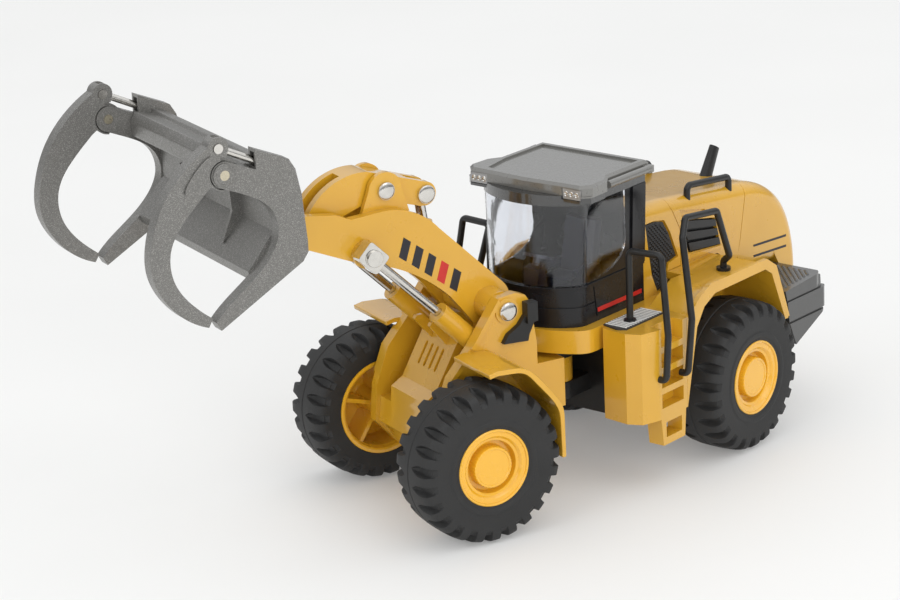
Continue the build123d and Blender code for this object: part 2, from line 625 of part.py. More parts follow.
# ---------------------------------------------------------------- rear half: handrails
for hand, sign in SIDES:
    with BuildPart() as handrail:
        post = (POST_FOOT[0], sign * POST_FOOT[1], DECK_TOP)
        rod(REAR, post, (post[0], post[1], DECK_TOP + 0.8), 1.5)
        rod(REAR, (RAIL_FOOT[0], sign * RAIL_FOOT[1], FENDER_TOP_Z - 0.1), (RAIL_FOOT[0], sign * RAIL_FOOT[1], 46.7), 1.8)
        tube_path(REAR, [post, (-3.2, sign * 21.5, 59.2), (-4.0, sign * 30.4, 59.2),
                         (-2.4, sign * 33.2, 40.0), (-1.6, sign * 33.0, 28.8), (-1.6, sign * TANK_OUT_Y, 28.8)], 1.4, RAIL_R)
        tube_path(REAR, [(-10.2, sign * TANK_OUT_Y, 28.2), (-10.2, sign * 33.2, 28.2), (-12.2, sign * 33.2, 41.5),
                         (-14.8, sign * 29.0, 60.6), (-18.0, sign * 27.6, 64.6), (-31.4, sign * 27.4, 63.0),
                         (-36.6, sign * 27.4, 50.2), (RAIL_FOOT[0], sign * RAIL_FOOT[1], 48.2),
                         (RAIL_FOOT[0], sign * RAIL_FOOT[1], RAIL_FOOT[2])], 1.2, RAIL_R)
    save(handrail, f"handrail_{hand}")


# ---------------------------------------------------------------- front half: frame casting
TOWER = [(14.4, 34.0), (14.4, 40.6), (15.9, 50.9), (17.2, 52.9), (19.9, 53.9), (24.9, 53.4), (32.7, 42.6), (38.5, 36.1),
         (42.1, 26.7), (42.9, 17.8), (37.1, 11.3), (28.0, 11.3), (20.0, 20.0), (14.4, 21.9)]
BOSS_RING = 0.4
with BuildPart() as front_frame:
    for sign in (1, -1):
        slab(FRONT, sign * TOWER_OUT_Y, sign * TOWER_IN_Y, TOWER)
        slab(FRONT, sign * (TOWER_OUT_Y + 0.7), sign * TOWER_OUT_Y, [(24.9, 53.4), (32.7, 42.6), (31.7, 42.2), (24.4, 52.4)])
        slab(FRONT, sign * (TOWER_OUT_Y + 0.7), sign * TOWER_OUT_Y,
             [(34.9, 40.1), (38.5, 36.1), (41.0, 29.6), (40.0, 29.2), (37.6, 35.4), (33.4, 40.1)])
        disc(FRONT, (FRONT_AXLE_X, WHEEL_R), 3.4, sign * 20.2, sign * TOWER_IN_Y)
        disc(FRONT, BOOM_PIVOT, 3.1, sign * (TOWER_OUT_Y + BOSS_RING), sign * TOWER_OUT_Y)
        slab(FRONT, sign * 4.2, sign * 3.0, [(30.0, 42.4), (32.2, 40.0), (36.6, 45.6), (36.0, 46.4), (34.4, 46.4)])
    slab(FRONT, TOWER_IN_Y, -TOWER_IN_Y, [(13.8, 22.0), (20.0, 20.0), (28.0, 11.3), (37.1, 11.3), (41.9, 17.8),
                                       (41.2, 24.0), (20.0, 26.0), (13.8, 34.2)])
    slab(FRONT, NOSE_Y, -NOSE_Y, [(28.4, 43.0), (30.7, 43.0), (38.0, 30.2), (41.2, 28.2), (41.9, 20.0), (16.0, 20.0),
                                  (16.0, 34.2), (26.0, 36.0)])
    brick(FRONT, (5.6, 20.0), (-BLOCK_Y, BLOCK_Y), (22.0, 34.2))
    brick(FRONT, (0.0, 8.0), (-4.6, 4.6), (23.9, 30.1))
    with BuildSketch(level(FRONT, 23.9)):
        Circle(4.6)
    extrude(amount=6.2)
    with BuildSketch(level(FRONT, 23.0)):
        Circle(PIN_R + RUN)
    extrude(amount=8.0, mode=Mode.SUBTRACT)
    nose_face = along(FRONT, (34.35, 0, 36.6), (34.35 + 12.8, 0, 36.6 + 7.3))
    with BuildSketch(nose_face):
        with GridLocations(2.6, 1.0, 4, 1):
            SlotOverall(6.0, 1.0, rotation=90)
    extrude(amount=-1.0, mode=Mode.SUBTRACT)
    disc(FRONT, (FRONT_AXLE_X, WHEEL_R), AXLE_R + RUN, 21.0, -21.0, mode=Mode.SUBTRACT)
    disc(FRONT, BOOM_PIVOT, PIN_R, 18.0, -18.0, mode=Mode.SUBTRACT)
save(front_frame, "front_frame")

with BuildPart() as boom_pivot_pin:
    disc(FRONT, BOOM_PIVOT, PIN_R, TOWER_OUT_Y + 0.5, -TOWER_OUT_Y - 0.5)
    for sign in (1, -1):
        disc(FRONT, BOOM_PIVOT, 2.25, sign * (TOWER_OUT_Y + BOSS_RING + 0.8), sign * (TOWER_OUT_Y + BOSS_RING))
save(boom_pivot_pin, "boom_pivot_pin")

LIFT_PIN_R = 1.0
with BuildPart() as lift_foot_pins:
    for sign in (1, -1):
        disc(FRONT, LIFT_FOOT, LIFT_PIN_R, sign * TOWER_IN_Y, sign * NOSE_Y)
save(lift_foot_pins, "lift_foot_pins")

FRONT_FENDER_Y = 33.0
FENDER_TIP = [(30.4, 40.5), (35.0, 40.8), (37.2, 40.4), (37.4, 41.5), (35.0, 42.0), (30.1, 41.7)]
FENDER_ARC = [(30.1, 41.7), (24.4, 38.6), (19.4, 32.6), (17.3, 27.0)]
FENDER_TAIL = [(17.3, 27.0), (17.2, 17.0), (18.3, 17.0), (18.5, 26.5)]
FENDER_ROOF = [(18.5, 26.5), (20.5, 31.8), (25.2, 37.4), (30.4, 40.5)]
for hand, sign in SIDES:
    with BuildPart() as front_fender:
        with BuildSketch(side(FRONT, sign * FRONT_FENDER_Y)) as face:
            with BuildLine():
                Polyline(*FENDER_TIP)
                Spline(*FENDER_ARC, tangents=((-1.0, -0.08), (-0.02, -1.0)))
                Polyline(*FENDER_TAIL)
                Spline(*FENDER_ROOF, tangents=((0.02, 1.0), (1.0, 0.08)))
            make_face()
        extrude(amount=sign * (FRONT_FENDER_Y - TOWER_OUT_Y))
    save(front_fender, f"front_fender_{hand}")

with BuildPart() as tower_brackets:
    for sign in (1, -1):
        slab(FRONT, sign * 19.0, sign * TOWER_OUT_Y, [(18.2, 51.6), (15.3, 51.6), (15.3, 46.8), (18.2, 46.4)])
        slab(FRONT, sign * 18.0, sign * TOWER_OUT_Y, [(15.3, 47.2), (17.2, 43.6), (17.6, 41.9), (24.4, 42.3), (23.0, 44.4),
                                                   (20.0, 46.2), (18.2, 48.4)])
save(tower_brackets, "tower_brackets")

# ---------------------------------------------------------------- boom
EAR_IN_Y = 4.2
LIFT_BOSS_Y = 9.2
TIP_LUG_IN_Y = 8.4
TIP_LUG_OUT_Y = 10.6
TIP_PIN_R = 1.8
SMALL_PIN_R = 1.1
ROCKER_PIN_R = 1.5

with BuildPart() as boom:
    for sign in (1, -1):
        with BuildSketch(side(FRONT, sign * BOOM_OUT_Y)):
            with BuildLine():
                Polyline((18.3, 54.3), (35.0, 70.7))
                ThreePointArc((35.0, 70.7), (41.8, 75.8), (50.0, 77.4))
                Polyline((50.0, 77.4), (58.1, 76.9), (62.0, 78.7), (70.0, 79.9), (79.6, 79.7), (82.0, 71.8), (69.3, 71.6),
                         (56.0, 65.8))
                ThreePointArc((56.0, 65.8), (44.0, 61.6), (32.5, 53.1))
                Polyline((32.5, 53.1), (26.7, 45.8), (18.3, 54.3))
            make_face()
            with Locations(BOOM_PIVOT):
                Circle(6.0)
            with Locations(BOOM_TIP):
                Circle(4.2)
        extrude(amount=sign * (BOOM_OUT_Y - BOOM_IN_Y))
        with BuildSketch(side(FRONT, sign * BOOM_IN_Y)):
            with Locations(ROCKER_PIVOT):
                Circle(4.4)
            outline([(43.4, 82.6), (51.6, 82.8), (54.6, 75.0), (41.2, 75.0)])
        extrude(amount=sign * (BOOM_IN_Y - EAR_IN_Y))
        disc(FRONT, BOOM_PIVOT, 4.0, sign * (TOWER_IN_Y - 0.15), sign * BOOM_OUT_Y)
        disc(FRONT, LIFT_HEAD, 3.3, sign * LIFT_BOSS_Y, sign * BOOM_OUT_Y)
    disc(FRONT, BOOM_PIVOT, 5.0, BOOM_IN_Y, -BOOM_IN_Y)
    disc(FRONT, (50.0, 67.6), 2.4, BOOM_IN_Y, -BOOM_IN_Y)
    disc(FRONT, BOOM_PIVOT, PIN_R + RUN, 15.0, -15.0, mode=Mode.SUBTRACT)
    disc(FRONT, BOOM_TIP, TIP_PIN_R, 9.0, -9.0, mode=Mode.SUBTRACT)
    disc(FRONT, ROCKER_PIVOT, ROCKER_PIN_R, 9.0, -9.0, mode=Mode.SUBTRACT)
    disc(FRONT, TILT_FOOT, SMALL_PIN_R, 7.0, -7.0, mode=Mode.SUBTRACT)
save(boom, "boom")

with BuildPart() as boom_pins:
    disc(FRONT, ROCKER_PIVOT, ROCKER_PIN_R, BOOM_IN_Y, -BOOM_IN_Y)
    disc(FRONT, TILT_FOOT, SMALL_PIN_R, 7.0, -7.0)
    for sign in (1, -1):
        disc(FRONT, ROCKER_PIVOT, 2.1, sign * (BOOM_IN_Y + 0.8), sign * BOOM_IN_Y)
        disc(FRONT, BOOM_TIP, TIP_PIN_R, sign * (TIP_LUG_OUT_Y + 0.3), sign * BOOM_IN_Y)
        disc(FRONT, BOOM_TIP, 2.8, sign * (TIP_LUG_OUT_Y + 1.1), sign * (TIP_LUG_OUT_Y + 0.2))
save(boom_pins, "boom_pins")

# ---------------------------------------------------------------- tilt rocker, link and cylinder
ROCKER_Y = 3.8
ROCKER_SLOT_Y = 1.7
with BuildPart() as rocker:
    with BuildSketch(side(FRONT, ROCKER_Y)):
        with BuildLine():
            Polyline((34.6, 80.8), (42.0, 83.3), (51.1, 86.3))
            ThreePointArc((51.1, 86.3), (61.0, 84.4), (68.4, 75.6))
            Polyline((68.4, 75.6), (63.4, 71.9), (60.0, 76.0), (53.6, 78.2), (41.0, 76.7), (37.0, 75.4), (34.6, 80.8))
        make_face()
        with Locations(ROCKER_REAR):
            Circle(2.9)
        with Locations(ROCKER_FRONT):
            Circle(2.7)
    extrude(amount=2 * ROCKER_Y)
    slab(FRONT, ROCKER_SLOT_Y, -ROCKER_SLOT_Y, [(57.4, 90.0), (72.0, 90.0), (72.0, 68.0), (57.4, 68.0)],
         mode=Mode.SUBTRACT)
    slab(FRONT, ROCKER_SLOT_Y, -ROCKER_SLOT_Y, [(30.0, 84.0), (39.8, 84.0), (39.8, 70.0), (30.0, 70.0)],
         mode=Mode.SUBTRACT)
    disc(FRONT, ROCKER_PIVOT, ROCKER_PIN_R + RUN, 4.0, -4.0, mode=Mode.SUBTRACT)
    disc(FRONT, ROCKER_REAR, SMALL_PIN_R, 4.0, -4.0, mode=Mode.SUBTRACT)
    disc(FRONT, ROCKER_FRONT, SMALL_PIN_R, 4.0, -4.0, mode=Mode.SUBTRACT)
save(rocker, "rocker")

with BuildPart() as rocker_end_pins:
    disc(FRONT, ROCKER_FRONT, SMALL_PIN_R, ROCKER_Y, -ROCKER_Y)
    disc(FRONT, ROCKER_REAR, SMALL_PIN_R, ROCKER_Y, -ROCKER_Y)
    for sign in (1, -1):
        disc(FRONT, ROCKER_REAR, 2.2, sign * (ROCKER_Y + 0.9), sign * ROCKER_Y)
save(rocker_end_pins, "rocker_end_pins")

TILT_EYE_Y = 1.5
TILT_LENGTH = span(TILT_FOOT, ROCKER_REAR)
TILT_BARREL_END = 12.5


def on_tilt(distance):
    x, z = between(TILT_FOOT, ROCKER_REAR, distance)
    return (x, 0, z)


with BuildPart() as tilt_barrel:
    disc(FRONT, TILT_FOOT, 2.4, 2.1, -2.1)
    rod(FRONT, on_tilt(0.5), on_tilt(TILT_BARREL_END), 2.2)
    rod(FRONT, on_tilt(3.6), on_tilt(TILT_BARREL_END + 1.0), 1.3, mode=Mode.SUBTRACT)
    disc(FRONT, TILT_FOOT, SMALL_PIN_R + RUN, 3.0, -3.0, mode=Mode.SUBTRACT)
save(tilt_barrel, "tilt_barrel")

with BuildPart() as tilt_rod:
    rod(FRONT, on_tilt(6.0), on_tilt(TILT_LENGTH), 1.25)
    disc(FRONT, ROCKER_REAR, 2.2, TILT_EYE_Y, -TILT_EYE_Y)
    disc(FRONT, ROCKER_REAR, SMALL_PIN_R + 0.3, 3.0, -3.0, mode=Mode.SUBTRACT)
save(tilt_rod, "tilt_rod")

LINK_EYE_SLACK = 0.6
with BuildPart() as tilt_link:
    middle = ((ROCKER_FRONT[0] + LINK_HEAD[0]) / 2, (ROCKER_FRONT[1] + LINK_HEAD[1]) / 2)
    with BuildSketch(side(FRONT, 1.4)):
        with Locations(ROCKER_FRONT, LINK_HEAD):
            Circle(2.4)
        with Locations(Location((middle[0], middle[1], 0), (0, 0, slope(ROCKER_FRONT, LINK_HEAD)))):
            Rectangle(span(ROCKER_FRONT, LINK_HEAD), 3.4)
    extrude(amount=2.8)
    disc(FRONT, ROCKER_FRONT, SMALL_PIN_R + RUN, 3.0, -3.0, mode=Mode.SUBTRACT)
    disc(FRONT, LINK_HEAD, SMALL_PIN_R + LINK_EYE_SLACK, 3.0, -3.0, mode=Mode.SUBTRACT)
save(tilt_link, "tilt_link")

# ---------------------------------------------------------------- lift cylinders
LIFT_LENGTH = span(LIFT_FOOT, LIFT_HEAD)
LIFT_BARREL_END = 19.7
LIFT_BARREL_R = 2.6
LIFT_ROD_R = 1.1
LIFT_ROD_TAIL = 15.9
for hand, sign in SIDES:
    def on_lift(distance):
        x, z = between(LIFT_FOOT, LIFT_HEAD, distance)
        return (x, sign * LIFT_Y, z)

    with BuildPart() as lift_barrel:
        disc(FRONT, LIFT_FOOT, 2.5, sign * (LIFT_Y + 2.0), sign * (LIFT_Y - 2.0))
        rod(FRONT, on_lift(0.6), on_lift(LIFT_BARREL_END), LIFT_BARREL_R)
        rod(FRONT, on_lift(6.0), on_lift(LIFT_BARREL_END + 1.0), LIFT_ROD_R + RUN, mode=Mode.SUBTRACT)
        disc(FRONT, LIFT_FOOT, LIFT_PIN_R + RUN, sign * (LIFT_Y + 3.0), sign * (LIFT_Y - 3.0), mode=Mode.SUBTRACT)
    save(lift_barrel, f"lift_barrel_{hand}")

    with BuildPart() as lift_rod:
        rod(FRONT, on_lift(LIFT_ROD_TAIL), on_lift(LIFT_LENGTH - 1.0), LIFT_ROD_R)
        turn = slope(LIFT_FOOT, LIFT_HEAD)
        with BuildSketch(side(FRONT, sign * 12.9)):
            with Locations(Location((LIFT_HEAD[0], LIFT_HEAD[1], 0), (0, 0, turn))):
                Rectangle(6.6, 5.4)
            fillet(vertices(), 0.8)
        extrude(amount=sign * 3.5)
        disc(FRONT, LIFT_HEAD, 2.0, sign * 13.7, sign * 12.9)
    save(lift_rod, f"lift_rod_{hand}")

# ---------------------------------------------------------------- grapple frame
TINE_TIP = (103.9, 65.6)
PLATE_BACK = [(93.2, 105.0), (85.2, 101.5), (83.7, 99.0), (82.5, 93.1), (81.6, 82.1), (81.6, 79.6), (83.0, 77.6), (95.8, 70.3),
              TINE_TIP]
PLATE_INNER = [(105.0, 67.6), (95.5, 75.6), (90.6, 80.6), (88.6, 85.3), (90.0, 90.8), (94.3, 94.3), (101.6, 97.6)]
LUG_R = 3.0
SLOT_R = 4.2
NECK_R = 3.6
EYE_R = 1.9
LOBE_R = 2.5

for hand, sign in SIDES:
    with BuildPart() as grapple_side:
        with BuildSketch(side(FRONT, sign * GRAPPLE_OUT_Y)):
            with BuildLine():
                Polyline((93.2, 100.4), *PLATE_BACK, PLATE_INNER[0])
                Spline(*PLATE_INNER)
                Polyline(PLATE_INNER[-1], (103.6, 100.5), (100.2, 103.4), (93.2, 100.4))
            make_face()
            with Locations(CLAW_PIVOT):
                Circle(LUG_R)
        extrude(amount=sign * (GRAPPLE_OUT_Y - GRAPPLE_IN_Y))
        disc(FRONT, CLAW_PIVOT, SLOT_R, sign * FORK_OUT_Y, sign * FORK_IN_Y, mode=Mode.SUBTRACT)
        slab(FRONT, sign * (FORK_OUT_Y + 0.1), sign * (FORK_IN_Y - 0.1),
             [(93.4, 100.9), (92.3, 100.7), (87.6, 98.4), (86.5, 98.9), (86.3, 100.6), (93.4, 104.3)], mode=Mode.SUBTRACT)
        disc(FRONT, CLAW_PIVOT, SMALL_PIN_R, sign * 33.0, sign * 28.0, mode=Mode.SUBTRACT)
    save(grapple_side, f"grapple_side_{hand}")

with BuildPart() as grapple_beam:
    slab(FRONT, GRAPPLE_IN_Y, -GRAPPLE_IN_Y, [(95.3, 95.6), (95.7, 99.3), (94.3, 101.4), (90.2, 100.2), (89.6, 101.2),
                                              (86.4, 100.2), (86.0, 94.6), (90.0, 93.6)])
save(grapple_beam, "grapple_beam")

BACK_X = 86.7
with BuildPart() as grapple_back_plate:
    slab(FRONT, GRAPPLE_IN_Y, -GRAPPLE_IN_Y, [(BACK_X, 93.6), (88.3, 93.6), (88.3, 84.8), (95.0, 76.6), (94.6, 74.6),
                                              (93.8, 74.4), (BACK_X, 82.6)])
    for sign in (1, -1):
        slab(FRONT, sign * TIP_LUG_OUT_Y, sign * TIP_LUG_IN_Y, [(BACK_X, 92.0), (77.4, 77.6), (79.0, 72.3), (90.0, 78.8)])
        disc(FRONT, BOOM_TIP, 3.4, sign * TIP_LUG_OUT_Y, sign * TIP_LUG_IN_Y)
        slab(FRONT, sign * 3.3, sign * 1.8, [(BACK_X, 88.0), (82.4, 83.6), (82.6, 80.2), (BACK_X, 80.0), (88.0, 84.0)])
        disc(FRONT, LINK_HEAD, 2.2, sign * 3.3, sign * 1.8)
        slab(FRONT, sign * 13.0, sign * 12.0, [(88.3, 92.0), (91.0, 91.6), (90.6, 86.0), (93.4, 79.2), (91.4, 80.9),
                                               (88.3, 84.8)])
    disc(FRONT, LINK_HEAD, SMALL_PIN_R, 2.0, -2.0)
    for sign in (1, -1):
        disc(FRONT, BOOM_TIP, TIP_PIN_R + RUN, sign * 12.0, sign * 8.0, mode=Mode.SUBTRACT)
save(grapple_back_plate, "grapple_back_plate")

with BuildPart() as claw_pins:
    for sign in (1, -1):
        disc(FRONT, CLAW_PIVOT, SMALL_PIN_R, sign * (GRAPPLE_OUT_Y + 0.2), sign * (GRAPPLE_IN_Y - 0.2))
        disc(FRONT, CLAW_PIVOT, 1.6, sign * (GRAPPLE_OUT_Y + 0.5), sign * GRAPPLE_OUT_Y)
save(claw_pins, "claw_pins")

# ---------------------------------------------------------------- claws and their rods
CLAW_OUTER = [(104.4, 107.2), (109.6, 103.6), (115.4, 97.0), (118.8, 89.0), (119.4, 80.6), (116.2, 73.8), (111.6, 69.3),
              (106.9, 66.9)]
CLAW_INNER = [(105.8, 68.8), (110.8, 73.2), (114.3, 78.6), (114.6, 86.0), (110.6, 92.3), (105.4, 97.4)]
CLAW_CUT_R = 3.3
CLAW_LEFT_CUT_R = 4.0
ROD_R = 0.85
ROD_TAIL = 11.0
ROD_ANGLE = 206.0                            # direction of the rod, backwards and down from the claw's head

for hand, sign in SIDES:
    with BuildPart() as claw:
        with BuildSketch(side(FRONT, sign * GRAPPLE_OUT_Y)):
            with BuildLine():
                Spline(*CLAW_OUTER)
                Line(CLAW_OUTER[-1], CLAW_INNER[0])
                Spline(*CLAW_INNER)
                Polyline(CLAW_INNER[-1], CLAW_PIVOT, (99.9, 105.2), CLAW_OUTER[0])
            make_face()
            with Locations(CLAW_HEAD):
                Circle(LOBE_R)
            with Locations(CLAW_PIVOT):
                Circle(NECK_R)
        extrude(amount=sign * (GRAPPLE_OUT_Y - GRAPPLE_IN_Y))
        for lug_out, lug_in in ((GRAPPLE_OUT_Y, FORK_OUT_Y - 0.1), (FORK_IN_Y + 0.1, GRAPPLE_IN_Y)):
            disc(FRONT, CLAW_PIVOT, CLAW_CUT_R, sign * lug_out, sign * lug_in, mode=Mode.SUBTRACT)
            with BuildSketch(side(FRONT, sign * lug_out)):
                with Locations(CLAW_PIVOT):
                    Circle(CLAW_LEFT_CUT_R)
                head_line = slope(CLAW_PIVOT, CLAW_HEAD)
                far = (CLAW_PIVOT[0] + 9 * cos(radians(head_line)), CLAW_PIVOT[1] + 9 * sin(radians(head_line)))
                outline([CLAW_PIVOT, far, (far[0] - 12, far[1]), (CLAW_PIVOT[0] - 12, CLAW_PIVOT[1] - 8),
                         (CLAW_PIVOT[0], CLAW_PIVOT[1] - 8)], mode=Mode.INTERSECT)
            extrude(amount=sign * (lug_out - lug_in), mode=Mode.SUBTRACT)
        disc(FRONT, CLAW_HEAD, EYE_R + 0.25, sign * FORK_OUT_Y, sign * FORK_IN_Y, mode=Mode.SUBTRACT)
        slab(FRONT, sign * FORK_OUT_Y, sign * FORK_IN_Y, [(101.6, 104.7), (99.0, 103.9), (96.0, 106.0), (98.0, 110.0), (102.0, 110.0),
                                                       (103.2, 108.0)], mode=Mode.SUBTRACT)
        disc(FRONT, CLAW_PIVOT, SMALL_PIN_R + RUN, sign * 33.0, sign * 28.0, mode=Mode.SUBTRACT)
        disc(FRONT, CLAW_HEAD, SMALL_PIN_R + RUN, sign * 33.0, sign * 28.0, mode=Mode.SUBTRACT)
    save(claw, f"claw_{hand}")

    middle_y = sign * (FORK_OUT_Y + FORK_IN_Y) / 2
    tail = (CLAW_HEAD[0] + ROD_TAIL * cos(radians(ROD_ANGLE)), CLAW_HEAD[1] + ROD_TAIL * sin(radians(ROD_ANGLE)))
    with BuildPart() as claw_rod:
        disc(FRONT, CLAW_HEAD, EYE_R, sign * (FORK_OUT_Y - 0.1), sign * (FORK_IN_Y + 0.1))
        disc(FRONT, CLAW_HEAD, SMALL_PIN_R, sign * (GRAPPLE_OUT_Y + 0.3), sign * (GRAPPLE_IN_Y - 0.3))
        rod(FRONT, (CLAW_HEAD[0], middle_y, CLAW_HEAD[1]), (tail[0], middle_y, tail[1]), ROD_R)
    save(claw_rod, f"claw_rod_{hand}")
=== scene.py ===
import json
import math

import bmesh
import bpy
from mathutils import Matrix, Vector


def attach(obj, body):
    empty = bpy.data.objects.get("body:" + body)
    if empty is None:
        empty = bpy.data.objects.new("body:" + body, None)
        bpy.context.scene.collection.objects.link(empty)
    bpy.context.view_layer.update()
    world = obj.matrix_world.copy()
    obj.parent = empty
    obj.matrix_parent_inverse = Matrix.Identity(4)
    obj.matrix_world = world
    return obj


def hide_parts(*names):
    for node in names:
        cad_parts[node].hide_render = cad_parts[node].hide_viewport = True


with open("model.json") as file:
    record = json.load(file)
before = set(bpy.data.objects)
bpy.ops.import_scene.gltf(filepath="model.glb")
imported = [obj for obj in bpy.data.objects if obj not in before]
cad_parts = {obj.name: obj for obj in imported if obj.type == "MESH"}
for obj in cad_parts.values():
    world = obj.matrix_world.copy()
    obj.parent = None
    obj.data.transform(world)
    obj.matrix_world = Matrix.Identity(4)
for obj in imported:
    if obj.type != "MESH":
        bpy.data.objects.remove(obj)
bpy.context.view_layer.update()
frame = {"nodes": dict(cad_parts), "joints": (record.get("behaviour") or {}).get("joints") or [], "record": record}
nodes = frame["nodes"]
joints = {joint["name"]: joint for joint in frame["joints"]}
# Sizes and places are in millimetres, apart from those of the camera, the floor and the lights.
MM = 0.001
SIDES = (("left", 1), ("right", -1))

# The rear half's frame has its origin on the ground under the articulation pin.
# The front half's frame has the same origin and is turned by the steering angle.
pin = joints["steering"]["pos_m"]
lift_axis = Vector(joints["boom_lift"]["axis"])
PIVOT = Vector((pin[0], pin[1], 0.0))
STEER = math.atan2(lift_axis.x, -lift_axis.y)
REAR = Matrix.Translation(PIVOT)
FRONT = REAR @ Matrix.Rotation(STEER, 4, "Z")


# ---------------------------------------------------------------- shader helpers
def link(tree, source, target):
    tree.links.new(source, target)


def new_material(name):
    """A material with an empty Principled shader, and its node tree, shader and object coordinates."""
    material = bpy.data.materials.new(name)
    material.use_nodes = True
    tree = material.node_tree
    shader = tree.nodes["Principled BSDF"]
    coordinates = tree.nodes.new("ShaderNodeTexCoord")
    return material, tree, shader, coordinates.outputs["Object"]


def add_noise(tree, vector, scale, detail, roughness=0.5):
    """The value of a noise texture. Its scale is in features per metre."""
    node = tree.nodes.new("ShaderNodeTexNoise")
    node.inputs["Scale"].default_value = scale
    node.inputs["Detail"].default_value = detail
    node.inputs["Roughness"].default_value = roughness
    link(tree, vector, node.inputs["Vector"])
    return node.outputs["Fac"]


def remap(tree, value, low, high, to_low=0.0, to_high=1.0):
    node = tree.nodes.new("ShaderNodeMapRange")
    for name, number in (("From Min", low), ("From Max", high), ("To Min", to_low), ("To Max", to_high)):
        node.inputs[name].default_value = number
    link(tree, value, node.inputs["Value"])
    return node.outputs["Result"]


def spread(tree, noise, to_low=0.0, to_high=1.0):
    """The middle values of a noise, stretched over a range."""
    return remap(tree, noise, 0.3, 0.7, to_low, to_high)


def set_colour(tree, shader, factor, first, second):
    """A base colour that goes from the first to the second with a factor."""
    node = tree.nodes.new("ShaderNodeMix")
    node.data_type = "RGBA"
    node.inputs[6].default_value = (*first, 1.0)
    node.inputs[7].default_value = (*second, 1.0)
    link(tree, factor, node.inputs["Factor"])
    link(tree, node.outputs[2], shader.inputs["Base Color"])


def set_roughness(tree, shader, noise, low, high):
    link(tree, spread(tree, noise, low, high), shader.inputs["Roughness"])


def set_bump(tree, shader, height, strength, distance):
    node = tree.nodes.new("ShaderNodeBump")
    node.inputs["Strength"].default_value = strength
    node.inputs["Distance"].default_value = distance
    link(tree, height, node.inputs["Height"])
    link(tree, node.outputs["Normal"], shader.inputs["Normal"])


def set_coat(shader, weight, roughness):
    shader.inputs["Coat Weight"].default_value = weight
    shader.inputs["Coat Roughness"].default_value = roughness


def painted(name, colour, shade, roughness=0.30, coat=0.85):
    """Sprayed enamel: a little colour drift, an orange-peel surface and a clear coat."""
    material, tree, shader, place = new_material(name)
    drift = add_noise(tree, place, scale=60.0, detail=2.0)
    smear = add_noise(tree, place, scale=140.0, detail=4.0)
    peel = add_noise(tree, place, scale=900.0, detail=2.0)
    set_colour(tree, shader, remap(tree, drift, 0.35, 0.65), shade, colour)
    set_roughness(tree, shader, smear, roughness - 0.05, roughness + 0.07)
    set_bump(tree, shader, peel, strength=0.06, distance=0.2 * MM)
    set_coat(shader, coat, 0.07)
    return material


def metallic_paint(name, colour, fleck):
    """Dark metallic paint over a slightly rough casting, with bright flecks."""
    material, tree, shader, place = new_material(name)
    flakes = tree.nodes.new("ShaderNodeTexVoronoi")
    flakes.inputs["Scale"].default_value = 9000.0
    link(tree, place, flakes.inputs["Vector"])
    channels = tree.nodes.new("ShaderNodeSeparateColor")
    link(tree, flakes.outputs["Color"], channels.inputs["Color"])
    cast = add_noise(tree, place, scale=1500.0, detail=5.0, roughness=0.65)
    set_colour(tree, shader, remap(tree, channels.outputs["Red"], 0.72, 1.0), colour, fleck)
    set_roughness(tree, shader, cast, 0.30, 0.50)
    set_bump(tree, shader, cast, strength=0.6, distance=0.18 * MM)
    set_coat(shader, 0.25, 0.25)
    shader.inputs["Metallic"].default_value = 0.6
    return material


def moulded(name, colour, roughness, grain=2600.0, bump=0.12, coat=0.0, specular=0.5):
    """Moulded plastic or rubber: uneven gloss and a fine grain."""
    material, tree, shader, place = new_material(name)
    cloud = add_noise(tree, place, scale=180.0, detail=5.0)
    fine = add_noise(tree, place, scale=grain, detail=3.0)
    lighter = tuple(min(1.0, channel * 1.35 + 0.003) for channel in colour)
    set_colour(tree, shader, spread(tree, cloud), colour, lighter)
    set_roughness(tree, shader, cloud, roughness - 0.06, roughness + 0.08)
    set_bump(tree, shader, fine, bump, 0.15 * MM)
    set_coat(shader, coat, 0.08)
    shader.inputs["Specular IOR Level"].default_value = specular
    return material


def plated(name, colour, roughness=0.16):
    """Nickel or chrome plating with faint polishing marks."""
    material, tree, shader, place = new_material(name)
    marks = add_noise(tree, place, scale=700.0, detail=4.0)
    darker = tuple(channel * 0.86 for channel in colour)
    set_colour(tree, shader, spread(tree, marks), darker, colour)
    set_roughness(tree, shader, marks, roughness - 0.05, roughness + 0.08)
    shader.inputs["Metallic"].default_value = 1.0
    return material


def clear_plastic(name, tint):
    """Clear polystyrene with a very faint haze."""
    material, tree, shader, place = new_material(name)
    haze = add_noise(tree, place, scale=220.0, detail=3.0)
    lighter = tuple(min(1.0, channel * 1.04) for channel in tint)
    set_colour(tree, shader, spread(tree, haze), tint, lighter)
    set_roughness(tree, shader, haze, 0.03, 0.06)
    shader.inputs["Transmission Weight"].default_value = 1.0
    shader.inputs["IOR"].default_value = 1.46
    return material


def by_height(name, high_colour, low_colour, height, roughness, coat=0.0, bump=0.0):
    """One colour on what stands above a height in mm and another below it."""
    edge = 0.02
    material, tree, shader, place = new_material(name)
    position = tree.nodes.new("ShaderNodeSeparateXYZ")
    link(tree, place, position.inputs["Vector"])
    above = remap(tree, position.outputs["Z"], (height - edge) * MM, (height + edge) * MM)
    wear = add_noise(tree, place, scale=1400.0, detail=4.0)
    set_colour(tree, shader, above, low_colour, high_colour)
    set_roughness(tree, shader, wear, roughness - 0.05, roughness + 0.1)
    set_bump(tree, shader, wear, bump, 0.2 * MM)
    set_coat(shader, coat, 0.1)
    shader.inputs["Coat IOR"].default_value = 1.7
    return material


# ---------------------------------------------------------------- materials
def grey(value):
    return (value, value, value)


